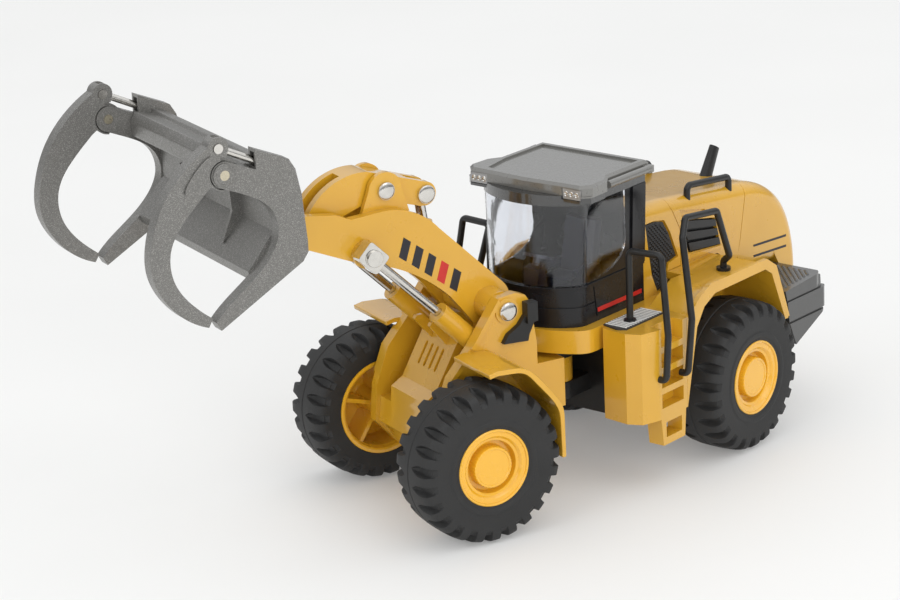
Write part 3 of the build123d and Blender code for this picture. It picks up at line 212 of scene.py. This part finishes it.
ROOF_TOP_Z = 74.45
TREAD_TOP_Z = 41.68
YELLOW = painted("yellow_enamel", (0.60, 0.325, 0.020), (0.565, 0.30, 0.016))
ORANGE = painted("rim_enamel", (0.76, 0.40, 0.022), (0.72, 0.375, 0.018), roughness=0.26, coat=0.9)
GREY = metallic_paint("graphite_metallic", (0.175, 0.171, 0.161), (0.38, 0.37, 0.35))
TYRE = moulded("tyre_vinyl", grey(0.014), 0.62, grain=2200.0, bump=0.25)
BLACK = moulded("black_satin_plastic", grey(0.010), 0.36, specular=0.4)
WEIGHT = moulded("counterweight_plastic", (0.026, 0.026, 0.025), 0.32, grain=2000.0, coat=0.8)
GLOSS = moulded("black_gloss_plastic", (0.006, 0.006, 0.007), 0.24, grain=900.0, bump=0.03, coat=0.1,
                specular=0.32)
NAVY = moulded("cab_interior", (0.010, 0.011, 0.024), 0.40, specular=0.4)
ROOF = by_height("roof_plastic", (0.12, 0.117, 0.107), grey(0.012), ROOF_TOP_Z, 0.30, coat=1.0, bump=0.5)
CHROME = plated("nickel_plating", (0.72, 0.70, 0.66))
GOLD = plated("pale_rivet_metal", (0.66, 0.60, 0.46), roughness=0.28)
CLEAR = clear_plastic("clear_polystyrene", (0.91, 0.925, 0.96))
LENS = moulded("lamp_lens", grey(0.20), 0.14, coat=1.0, specular=0.9)
RED = moulded("red_print", (0.42, 0.015, 0.012), 0.35)
INK = moulded("black_print", (0.010, 0.010, 0.014), 0.4)
TREAD = by_height("tread_print", (0.78, 0.78, 0.75), grey(0.03), TREAD_TOP_Z, 0.35)

SLOT_MATERIALS = {
    "yellow_paint": YELLOW, "grapple_paint": GREY, "tyre_rubber": TYRE, "black_plastic": BLACK,
    "cab_plastic": GLOSS, "clear_plastic": CLEAR, "tread_print": TREAD, "plated_steel": CHROME,
}
NODE_MATERIALS = {
    "cab_roof": ROOF, "roof_lamps": LENS, "claw_pins": GOLD, "counterweight": WEIGHT, "seat": NAVY,
    "steering_console": NAVY,
}


def dress(piece, material):
    piece.data.materials.clear()
    piece.data.materials.append(material)


for part in frame["record"]["subparts"]:
    name = part["node"]
    dress(nodes[name], NODE_MATERIALS.get(name, SLOT_MATERIALS[part["material_slot"]]))


# ---------------------------------------------------------------- soft cast edges on the CAD pieces
WELD_DISTANCE = 0.01
FLAT_ANGLE = 0.6
EDGE_ANGLE = 28.0


def soften(node, width, merged):
    """Round off the sharp edges of a CAD piece by a small bevel, after merging its flat facets if asked."""
    weld = node.modifiers.new("weld", "WELD")
    weld.merge_threshold = WELD_DISTANCE * MM
    if merged:
        flat = node.modifiers.new("flat", "DECIMATE")
        flat.decimate_type = "DISSOLVE"
        flat.angle_limit = math.radians(FLAT_ANGLE)
    edge = node.modifiers.new("edge", "BEVEL")
    edge.width = width * MM
    edge.segments = 2
    edge.limit_method = "ANGLE"
    edge.angle_limit = math.radians(EDGE_ANGLE)
    edge.use_clamp_overlap = True
    normals = node.modifiers.new("normals", "WEIGHTED_NORMAL")
    normals.mode = "FACE_AREA_WITH_ANGLE"
    normals.weight = 90
    for polygon in node.data.polygons:
        polygon.use_smooth = True


# Bevel widths, and the CAD pieces that have them.
BEVELS = {
    0.15: ("cab_pillars",),
    0.2: ("tilt_barrel", "exhaust_pipe"),
    0.25: ("hood_front", "hood_main", "grapple_back_plate", "tower_brackets", "tilt_link",
           "lift_barrel_left", "lift_barrel_right"),
    0.3: ("front_frame", "rear_fender_left", "rear_fender_right", "front_fender_left", "front_fender_right",
          "cab_base", "rocker", "lift_rod_left", "lift_rod_right", "grapple_beam", "grapple_side_left",
          "grapple_side_right"),
    0.35: ("boom", "deck_body", "cab_roof", "claw_left", "claw_right"),
    0.4: ("hood_rear", "counterweight"),
}
# Merged facets would shade badly on these pieces.
UNMERGED = ("deck_body", "hood_front", "hood_main")
for width, names in BEVELS.items():
    for name in names:
        soften(nodes[name], width, name not in UNMERGED)


# ---------------------------------------------------------------- building meshes
def add_piece(name, vertices, faces, material, body, slot, smooth=None):
    """A mesh piece that rides on a body. Faces that meet at less than the smooth angle shade smoothly."""
    mesh = bpy.data.meshes.new(name)
    mesh.from_pydata([tuple(v) for v in vertices], [], faces)
    piece = bpy.data.objects.new(name, mesh)
    bpy.context.scene.collection.objects.link(piece)
    work = bmesh.new()
    work.from_mesh(mesh)
    bmesh.ops.remove_doubles(work, verts=work.verts, dist=1e-7)
    bmesh.ops.recalc_face_normals(work, faces=work.faces)
    if smooth is not None:
        limit = math.radians(smooth)
        for face in work.faces:
            face.smooth = True
        for edge in work.edges:
            edge.smooth = len(edge.link_faces) == 2 and edge.calc_face_angle(0.0) < limit
    work.to_mesh(mesh)
    work.free()
    dress(piece, material)
    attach(piece, body)
    return piece


def placed(vertices, place):
    """Vertices in mm, moved to a placement and turned into metres."""
    return [place @ (Vector(v) * MM) for v in vertices]


def mirrored(place, sign):
    """A placement for the left side, or its mirror image for the right."""
    return place @ Matrix.Diagonal((1, sign, 1, 1))


def ring_faces(rings, count):
    """The faces of a closed chain of closed rings, each with the same count of vertices."""
    faces = []
    for i in range(rings):
        j = (i + 1) % rings
        for k in range(count):
            m = (k + 1) % count
            faces.append((i * count + k, i * count + m, j * count + m, j * count + k))
    return faces


def prism_faces(start, count):
    """The faces of a prism whose lower outline, then its upper one, begin at a vertex."""
    faces = [tuple(range(start + count - 1, start - 1, -1)), tuple(range(start + count, start + 2 * count))]
    for k in range(count):
        m = (k + 1) % count
        faces.append((start + k, start + m, start + count + m, start + count + k))
    return faces


AXIS_R = 0.02


def lathe(profile, steps):
    """The vertices and faces of a closed (y, r) profile turned round the y axis. No r is below AXIS_R."""
    vertices = []
    for i in range(steps):
        a = 2 * math.pi * i / steps
        vertices += [(r * math.cos(a), y, r * math.sin(a)) for y, r in profile]
    return vertices, ring_faces(steps, len(profile))


def turned_piece(name, profile, steps, place, material, body, slot):
    """A small round piece turned about the y axis of its placement."""
    vertices, faces = lathe(profile, steps)
    return add_piece(name, placed(vertices, place), faces, material, body, slot, smooth=40)


# ---------------------------------------------------------------- tyres
WHEEL_R = 19.0
LUGS = 24
LUG_PITCH = 2 * math.pi / LUGS
# Each ring of the tread has this many marks to a lug, one of them in the middle of the notch.
MARKS = 12
NOTCH_MARK = 4
# The middle of the tread along the axle, and how far from it the edge of the bore lies.
MIDDLE_Y = 26.45
BORE_EDGE = 7.3
# The tyre sits on the rim at the seat, and a lip in front of the rim's edge reaches further in.
SEAT_R = 12.1
LIP_R = 9.45
LIP_BACK_Y = 31.5
# Beyond the shoulder the notches cut into the side wall too.
SHOULDER = 7.0
SHOULDER_CUT = 0.3
NOTCH_SOFT = 0.22
NOTCH_LEAST = 0.05
# The marks are even near the middle of the tread, and gather at the notch walls over this distance.
GATHER_FROM = 0.3
GATHER_OVER = 1.4
# Half of the tread's section from the middle outwards: distance from there, outside radius, notch floor radius.
CROWN = (
    (0.0, 18.8, 18.8), (0.12, 18.8, 18.8), (0.3, 19.0, 19.0), (1.2, 19.0, 19.0), (1.7, 19.0, 19.0),
    (2.1, 18.99, 18.5), (2.7, 18.97, 17.9), (3.4, 18.94, 17.5), (4.2, 18.88, 17.3), (5.0, 18.78, 17.15),
    (5.6, 18.66, 17.0), (6.1, 18.5, 16.9), (6.55, 18.28, 16.75), (6.95, 17.98, 16.55), (7.25, 17.6, 16.3),
    (7.45, 17.15, 16.05), (7.56, 16.6, 15.9), (7.62, 16.0, 15.8),
)
# The side wall: distance from the middle, radius.
WALL = (
    (7.64, 15.4), (7.62, 14.4), (7.56, 13.2), (7.48, 12.2), (7.44, 11.9), (7.5, 11.6), (7.62, 11.4),
    (7.62, 10.7), (7.5, 10.3), (7.3, 10.0),
)
# Half the width of a notch, by the distance from the middle.
NOTCH = (
    (1.7, 0.0), (2.1, 0.30), (2.7, 0.62), (3.4, 0.88), (4.2, 1.06), (5.0, 1.16), (6.1, 1.2), (7.62, 1.12),
    (9.0, 1.0),
)


def notch_half_width(distance):
    for (d0, w0), (d1, w1) in zip(NOTCH, NOTCH[1:]):
        if distance <= d1:
            return w0 + (w1 - w0) * max(0.0, distance - d0) / (d1 - d0)
    return NOTCH[-1][1]


def tread_ring(distance, outside, floor, phase):
    """One ring of the tread as (angle, radius, depth into the notch from 0 to 1)."""
    half = max(NOTCH_LEAST, notch_half_width(distance)) / WHEEL_R
    soft = min(NOTCH_SOFT / WHEEL_R, half * 0.6)
    wall = [(half + soft * out, depth) for out, depth in ((-1.1, 1.0), (-0.5, 0.88), (0.4, 0.12), (1.0, 0.0))]
    marks = [(-angle, depth) for angle, depth in reversed(wall)] + [(0.0, 1.0)] + wall
    rest = LUG_PITCH - 2 * (half + soft)
    marks += [(half + soft + rest * t, 0.0) for t in (0.25, 0.5, 0.75)]
    gathered = min(1.0, max(0.0, (distance - GATHER_FROM) / GATHER_OVER))
    ring = []
    for lug in range(LUGS):
        start = lug * LUG_PITCH + phase
        for k, (angle, depth) in enumerate(marks):
            even = (k - NOTCH_MARK) * LUG_PITCH / MARKS
            ring.append((start + even + (angle - even) * gathered, outside + (floor - outside) * depth, depth))
    return ring


def tyre_half(sign, phase, bore):
    """The rings of half a tyre from the middle of its tread to its bore, each of (y, radius, angle)."""
    rings = []
    for distance, outside, floor in CROWN:
        cut = SHOULDER_CUT if distance > SHOULDER else 0.0
        rings.append([(MIDDLE_Y + sign * (distance - cut * depth), radius, angle)
                      for angle, radius, depth in tread_ring(distance, outside, floor, phase)])
    angles = [angle for angle, _, _ in tread_ring(NOTCH[-1][0], WHEEL_R, WHEEL_R, phase)]
    for distance, radius in WALL:
        if radius > bore:
            rings.append([(MIDDLE_Y + sign * distance, radius, angle) for angle in angles])
    rings.append([(MIDDLE_Y + sign * BORE_EDGE, bore, angle) for angle in angles])
    return rings


def tyre_mesh(place):
    """A tyre whose outer lugs stand between its inner ones, with a lip that covers the edge of the rim."""
    half_lug = MARKS // 2
    inner = tyre_half(-1, 0.0, SEAT_R)
    outer = [ring[-half_lug:] + ring[:-half_lug] for ring in tyre_half(1, LUG_PITCH / 2, LIP_R)]
    lip = [[(LIP_BACK_Y, radius, angle) for _, _, angle in outer[-1]] for radius in (LIP_R, SEAT_R)]
    chain = list(reversed(inner)) + outer[1:] + lip
    vertices = []
    for ring in chain:
        vertices += [(r * math.cos(a), y, r * math.sin(a)) for y, r, a in ring]
    return placed(vertices, place), ring_faces(len(chain), len(chain[0]))


# ---------------------------------------------------------------- rims
HUB_EDGE = ((33.1, 5.05), (33.4, 4.92))
# The closed section of a rim, as (distance along the axle, radius). Its hub edge is knurled.
RIM = (
    # the rounded outer lip
    (33.5, 9.43), (33.85, 9.38), (34.02, 9.2), (34.02, 8.95), (33.85, 8.78), (33.62, 8.72), (33.6, 8.4),
    # the step down into the dish
    (33.6, 7.7), (33.52, 7.58), (33.1, 7.3), (32.9, 7.12), (32.84, 6.75), (32.74, 6.5), (32.5, 6.4),
    (30.9, 6.25), (30.75, 6.15), (30.75, 5.2), (30.9, 5.08),
    # the hub cap, down to the middle
    *HUB_EDGE, (33.5, 4.7), (33.45, 4.4), (33.3, 4.3), (33.3, AXIS_R),
    # the hole for the axle and the back of the hub
    (30.0, AXIS_R), (30.0, 1.2), (20.6, 1.2), (20.2, 1.5), (20.2, 2.3), (20.6, 2.8), (28.3, 3.4), (28.6, 3.8),
    # the barrel, from inside to the seat of the tyre
    (28.6, 9.8), (28.3, 10.1), (20.4, 10.4), (20.0, 10.7), (19.3, 10.8), (19.0, 11.1), (18.9, 11.5),
    (18.9, 12.0), (19.1, 12.1), (31.4, 12.1), (31.45, 9.5),
)
RIM_STEPS = 144
KNURL = 0.07
KNURL_TEETH = 36
RIBS = 5
RIB_TURN = 0.3
RIB_HALF = 0.5
RIB_OUTLINE = ((2.6, 21.4), (10.5, 20.9), (10.3, 28.7), (2.9, 28.7))
RIB_FACES = ((0, 2, 4, 6), (1, 7, 5, 3), (0, 1, 3, 2), (2, 3, 5, 4), (4, 5, 7, 6), (6, 7, 1, 0))


def rim_mesh(place):
    """The turned rim with a knurled hub cap, and the ribs in its back."""
    vertices = []
    for i in range(RIM_STEPS):
        a = 2 * math.pi * i / RIM_STEPS
        for y, r in RIM:
            if (y, r) in HUB_EDGE:
                r += KNURL * math.cos(KNURL_TEETH * a)
            vertices.append((r * math.cos(a), y, r * math.sin(a)))
    faces = ring_faces(RIM_STEPS, len(RIM))
    for rib in range(RIBS):
        a = 2 * math.pi * rib / RIBS + RIB_TURN
        out = Vector((math.cos(a), 0, math.sin(a)))
        across = Vector((-math.sin(a), 0, math.cos(a)))
        start = len(vertices)
        for r, y in RIB_OUTLINE:
            for half in (-RIB_HALF, RIB_HALF):
                vertices.append(tuple(out * r + across * half + Vector((0, y, 0))))
        faces += [tuple(start + k for k in face) for face in RIB_FACES]
    return placed(vertices, place), faces


for end, turn in (("front", STEER), ("rear", 0.0)):
    body = f"{end}_wheelset"
    axle = Matrix.Translation(Vector(joints[f"{end}_wheels_spin"]["pos_m"])) @ Matrix.Rotation(turn, 4, "Z")
    for hand, sign in SIDES:
        place = mirrored(axle, sign)
        tread = add_piece(f"{end}_tyre_{hand}_tread", *tyre_mesh(place), TYRE, body, "tyre_rubber", smooth=26)
        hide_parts(f"{end}_tyre_{hand}")
        wheel = add_piece(f"{end}_rim_{hand}_turned", *rim_mesh(place), ORANGE, body, "yellow_paint", smooth=32)
        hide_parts(f"{end}_rim_{hand}")


# ---------------------------------------------------------------- prints and studs
STUD_FOOT = 0.46
STUD_CROWN = 0.14
STUD_ROOT = 0.1
PRINT_ROOT = 0.03
PRINT_THICKNESS = 0.06


def on_side(matrix, sign, y):
    """Places (x, z, height) on a side face at width y, with height outwards."""
    return lambda x, z, height: matrix @ (Vector((x, sign * (y + height), z)) * MM)


def inside(point, polygon):
    """Whether a point lies in a polygon."""
    x, z = point
    hit = False
    for (x0, z0), (x1, z1) in zip(polygon, polygon[1:] + polygon[:1]):
        if (z0 > z) != (z1 > z) and x < x0 + (z - z0) / (z1 - z0) * (x1 - x0):
            hit = not hit
    return hit


def diamond(x, z, reach):
    return [(x + reach, z), (x, z + reach), (x - reach, z), (x, z - reach)]


def stud_field(name, at, polygon, pitch, height, material, body):
    """Diamond studs in a staggered grid over a flat outline, rooted a little below the face."""
    xs = [p[0] for p in polygon]
    zs = [p[1] for p in polygon]
    rows = int((max(zs) - min(zs)) / (pitch / 2)) + 1
    columns = int((max(xs) - min(xs)) / pitch) + 2
    vertices = []
    faces = []
    for row in range(rows):
        for column in range(columns):
            x = min(xs) + (column + 0.5 * (row % 2)) * pitch
            z = min(zs) + row * pitch / 2
            foot = diamond(x, z, pitch * STUD_FOOT)
            crown = diamond(x, z, pitch * STUD_CROWN)
            if not all(inside(tip, polygon) for tip in foot):
                continue
            faces += prism_faces(len(vertices), len(foot))
            vertices += [at(a, b, -STUD_ROOT) for a, b in foot] + [at(a, b, height) for a, b in crown]
    return add_piece(name, vertices, faces, material, body, "black_plastic")


def print_mark(name, at, outlines, material, body, slot, thickness=PRINT_THICKNESS):
    """Thin shapes on a flat face, each a closed sliver."""
    vertices = []
    faces = []
    for points in outlines:
        faces += prism_faces(len(vertices), len(points))
        vertices += [at(x, z, -PRINT_ROOT) for x, z in points] + [at(x, z, thickness) for x, z in points]
    return add_piece(name, vertices, faces, material, body, slot)


HOOD_Y = 14.0
GRILLE_SINK = 0.3
GRILLE_PITCH = 1.25
GRILLE = [
    (-20.5, 59.8), (-24.0, 59.8), (-27.7, 59.0), (-30.0, 55.6), (-33.0, 48.9), (-29.1, 48.1), (-28.3, 44.1),
    (-27.4, 42.1), (-24.9, 42.1), (-22.8, 46.6), (-21.8, 52.2),
]
CAB_SIDE_Y = 14.3
CAB_STRIPE = [(0.2, 43.5), (-17.6, 43.5), (-17.6, 44.6), (0.4, 44.6)]
HOOD_LINE = ((-66.4, 0.6), (-66.6, 0.0), (-81.4, -1.0), (-81.4, -0.4))
HOOD_LINE_HEIGHTS = (42.4, 39.6)
BOOM_Y = 8.0
BARS = 5
RED_BAR = 3
FIRST_BAR = (44.6, 70.2)
BAR_STEP = (-3.3, -2.5)
BAR_CORNERS = ((0.0, 0.0), (-1.9, -1.44), (-0.4, -6.0), (1.5, -4.56))


def boom_bar(number):
    """One of the slanted bars down the side of the boom."""
    x = FIRST_BAR[0] + BAR_STEP[0] * number
    z = FIRST_BAR[1] + BAR_STEP[1] * number
    return [(x + dx, z + dz) for dx, dz in BAR_CORNERS]


dark_bars = [boom_bar(number) for number in range(BARS) if number != RED_BAR]
hood_lines = [[(x, height + rise) for x, rise in HOOD_LINE] for height in HOOD_LINE_HEIGHTS]
for hand, sign in SIDES:
    grille = on_side(REAR, sign, HOOD_Y - GRILLE_SINK)
    cab_side = on_side(REAR, sign, CAB_SIDE_Y)
    boom_side = on_side(FRONT, sign, BOOM_Y)
    hood_side = on_side(REAR, sign, HOOD_Y)
    stud_field(f"grille_mesh_{hand}", grille, GRILLE, GRILLE_PITCH, GRILLE_SINK, GLOSS, "rear_frame")
    print_mark(f"cab_stripe_{hand}", cab_side, [CAB_STRIPE], RED, "rear_frame", "cab_plastic")
    print_mark(f"boom_bars_{hand}", boom_side, dark_bars, INK, "lift_arm", "black_plastic")
    print_mark(f"boom_accent_{hand}", boom_side, [boom_bar(RED_BAR)], RED, "lift_arm", "cab_plastic")
    print_mark(f"hood_lines_{hand}", hood_side, hood_lines, INK, "rear_frame", "black_plastic")

WEIGHT_FRONT_X = -60.2
WEIGHT_FRONT_Z = 34.4
WEIGHT_SLOPE = -1.0 / 17.0
WEIGHT_PITCH = 1.7
WEIGHT_STUD = 0.35
WEIGHT_STUDS = [(-61.4, 14.8), (-76.0, 14.8), (-76.0, 24.6), (-73.4, 27.0), (-61.4, 27.0)]


def weight_top(sign):
    """Places (x, y, height) on the sloping top of the counterweight."""
    def at(x, y, height):
        z = WEIGHT_FRONT_Z + WEIGHT_SLOPE * (x - WEIGHT_FRONT_X) + height
        return REAR @ (Vector((x, sign * y, z)) * MM)
    return at


for hand, sign in SIDES:
    stud_field(f"counterweight_studs_{hand}", weight_top(sign), WEIGHT_STUDS, WEIGHT_PITCH, WEIGHT_STUD,
               WEIGHT, "rear_frame")


# ---------------------------------------------------------------- pin heads, lamp bowls and claw details
DOME_STEPS = 40
DOME_ROOT = 0.1
DOME_ANGLES = (0.0, 0.35, 0.7, 1.05, 1.35, math.pi / 2)
# The domed heads of the pins: name, body, x, z, foot width, radius, height.
DOMES = (
    ("boom_pivot_head", "front_body", 22.5, 50.0, 17.5, 2.25, 0.7),
    ("rocker_pivot_head", "lift_arm", 47.5, 81.5, 6.2, 2.1, 0.5),
    ("rocker_rear_head", "tilt_rocker", 36.0, 78.3, 4.6, 2.2, 0.35),
    ("boom_tip_head", "lift_arm", 80.0, 75.5, 11.6, 2.8, 0.7),
)
for name, body, x, z, foot, radius, height in DOMES:
    profile = [(foot - DOME_ROOT, AXIS_R), (foot - DOME_ROOT, radius)]
    profile += [(foot + height * math.sin(t), radius * math.cos(t) + AXIS_R) for t in DOME_ANGLES]
    for hand, sign in SIDES:
        place = mirrored(FRONT @ Matrix.Translation((x * MM, 0, z * MM)), sign)
        turned_piece(f"{name}_{hand}", profile, DOME_STEPS, place, CHROME, body, "plated_steel")

LAMP_X = 8.9
LAMP_Z = 75.05
LAMP_BULBS = (12.5, 14.05, 15.6)
BULB = ((-0.1, AXIS_R), (-0.1, 0.66), (0.1, 0.66), (0.16, 0.56), (0.02, 0.3), (0.0, AXIS_R))
BULB_STEPS = 20
facing = Matrix.Rotation(-math.pi / 2, 4, "Z")
for hand, sign in SIDES:
    for number, y in enumerate(LAMP_BULBS):
        place = REAR @ Matrix.Translation((LAMP_X * MM, sign * y * MM, LAMP_Z * MM)) @ facing
        turned_piece(f"lamp_bowl_{hand}_{number}", BULB, BULB_STEPS, place, CHROME, "rear_frame",
                     "plated_steel")

GRAPPLE_Y = 32.0
CLAW_PIVOT = (101.0, 100.5)
BOSS = tuple((GRAPPLE_Y + height, radius) for height, radius in
             ((-0.1, 1.15), (-0.1, 2.7), (0.3, 2.65), (0.42, 2.5), (0.42, 2.05), (0.56, 1.9), (0.56, 1.15)))
LEVER_CENTRE = (107.1, 101.5)
LEVER_HALF_LENGTH = 5.0
LEVER_HALF_WIDTH = 1.2
LEVER_THICKNESS = 0.45
LEVER_SLOPE = math.radians(-47.0)
LEVER_STEPS = 24


def lever_outline():
    """A slim oval that slopes down beside the head of the claw."""
    outline = []
    for i in range(LEVER_STEPS):
        a = 2 * math.pi * i / LEVER_STEPS
        along = LEVER_HALF_LENGTH * math.cos(a)
        across = LEVER_HALF_WIDTH * math.sin(a)
        outline.append((LEVER_CENTRE[0] + along * math.cos(LEVER_SLOPE) - across * math.sin(LEVER_SLOPE),
                        LEVER_CENTRE[1] + along * math.sin(LEVER_SLOPE) + across * math.cos(LEVER_SLOPE)))
    return outline


for hand, sign in SIDES:
    place = mirrored(FRONT @ Matrix.Translation((CLAW_PIVOT[0] * MM, 0, CLAW_PIVOT[1] * MM)), sign)
    turned_piece(f"claw_pin_boss_{hand}", BOSS, DOME_STEPS, place, GREY, "grapple", "grapple_paint")
    print_mark(f"claw_lever_{hand}", on_side(FRONT, sign, GRAPPLE_Y), [lever_outline()], GREY, f"{hand}_claw",
               "grapple_paint", LEVER_THICKNESS)


# ---------------------------------------------------------------- camera
CAMERA_PLACE = Vector((0.58973, 0.46568, 0.28731))
CAMERA_YAW = 3.843
CAMERA_PITCH = 0.312
CAMERA_ROLL = -0.043
camera_data = bpy.data.cameras.new("camera")
camera_data.sensor_width = 36.0
camera_data.lens = 129.27
camera_data.clip_start = 0.05
camera_data.clip_end = 20.0
camera = bpy.data.objects.new("camera", camera_data)
bpy.context.scene.collection.objects.link(camera)
bpy.context.scene.camera = camera
forward = Vector((math.cos(CAMERA_PITCH) * math.cos(CAMERA_YAW), math.cos(CAMERA_PITCH) * math.sin(CAMERA_YAW),
                  -math.sin(CAMERA_PITCH)))
level_right = forward.cross(Vector((0, 0, 1))).normalized()
level_up = level_right.cross(forward)
right = level_right * math.cos(CAMERA_ROLL) + level_up * math.sin(CAMERA_ROLL)
up = level_up * math.cos(CAMERA_ROLL) - level_right * math.sin(CAMERA_ROLL)
turn = Matrix((right, up, -forward)).transposed().to_4x4()
camera.matrix_world = Matrix.Translation(PIVOT + CAMERA_PLACE) @ turn


# ---------------------------------------------------------------- floor
FLOOR_HALF = 6.0
floor_mesh = bpy.data.meshes.new("floor")
corners = [(x * FLOOR_HALF, y * FLOOR_HALF, 0) for x, y in ((-1, -1), (1, -1), (1, 1), (-1, 1))]
floor_mesh.from_pydata(corners, [], [(0, 1, 2, 3)])
floor = bpy.data.objects.new("floor", floor_mesh)
bpy.context.scene.collection.objects.link(floor)
floor_material, tree, shader, place = new_material("pale_floor")
mottle = spread(tree, add_noise(tree, place, scale=8.0, detail=3.0))
set_colour(tree, shader, mottle, (0.66, 0.66, 0.65), (0.68, 0.68, 0.67))
shader.inputs["Emission Color"].default_value = (1.0, 0.99, 0.98, 1.0)
shader.inputs["Emission Strength"].default_value = 0.17
shader.inputs["Roughness"].default_value = 0.6
dress(floor, floor_material)


# ---------------------------------------------------------------- light
# The studio is brighter overhead than at the horizon. What shows behind the floor is an even pale backdrop.
world = bpy.data.worlds.new("studio")
world.use_nodes = True
tree = world.node_tree
direction = tree.nodes.new("ShaderNodeTexCoord")
parts = tree.nodes.new("ShaderNodeSeparateXYZ")
link(tree, direction.outputs["Generated"], parts.inputs["Vector"])
sky = tree.nodes["Background"]
sky.inputs["Color"].default_value = (0.96, 0.97, 0.98, 1.0)
link(tree, remap(tree, parts.outputs["Z"], 0.02, 0.45, 0.18, 1.0), sky.inputs["Strength"])
backdrop = tree.nodes.new("ShaderNodeBackground")
backdrop.inputs["Color"].default_value = (0.87, 0.87, 0.86, 1.0)
rays = tree.nodes.new("ShaderNodeLightPath")
choice = tree.nodes.new("ShaderNodeMixShader")
link(tree, rays.outputs["Is Camera Ray"], choice.inputs["Fac"])
link(tree, sky.outputs["Background"], choice.inputs[1])
link(tree, backdrop.outputs["Background"], choice.inputs[2])
link(tree, choice.outputs["Shader"], tree.nodes["World Output"].inputs["Surface"])
bpy.context.scene.world = world


def area_light(name, position, target, size, power, reflected=True):
    """A soft light that is never seen itself, and whose reflection can be left out."""
    data = bpy.data.lights.new(name, "AREA")
    data.shape = "RECTANGLE"
    data.size, data.size_y = size
    data.energy = power
    lamp = bpy.data.objects.new(name, data)
    bpy.context.scene.collection.objects.link(lamp)
    lamp.location = position
    lamp.rotation_mode = "QUATERNION"
    lamp.rotation_quaternion = (Vector(target) - Vector(position)).to_track_quat("-Z", "Y")
    lamp.visible_camera = False
    lamp.visible_glossy = reflected


AIM = (0, 0, 0.04)
area_light("key", (0.1, 0.9, 1.1), AIM, (0.9, 0.9), 2.5)
area_light("side", (0.8, 1.4, 0.45), AIM, (1.6, 0.7), 14.0, reflected=False)
area_light("fill", (1.2, -0.2, 0.7), AIM, (0.8, 0.8), 2.5)
area_light("top", (-0.3, 0.0, 1.4), (0, 0, 0), (1.2, 1.2), 1.0)

bpy.context.scene.view_settings.view_transform = "Standard"
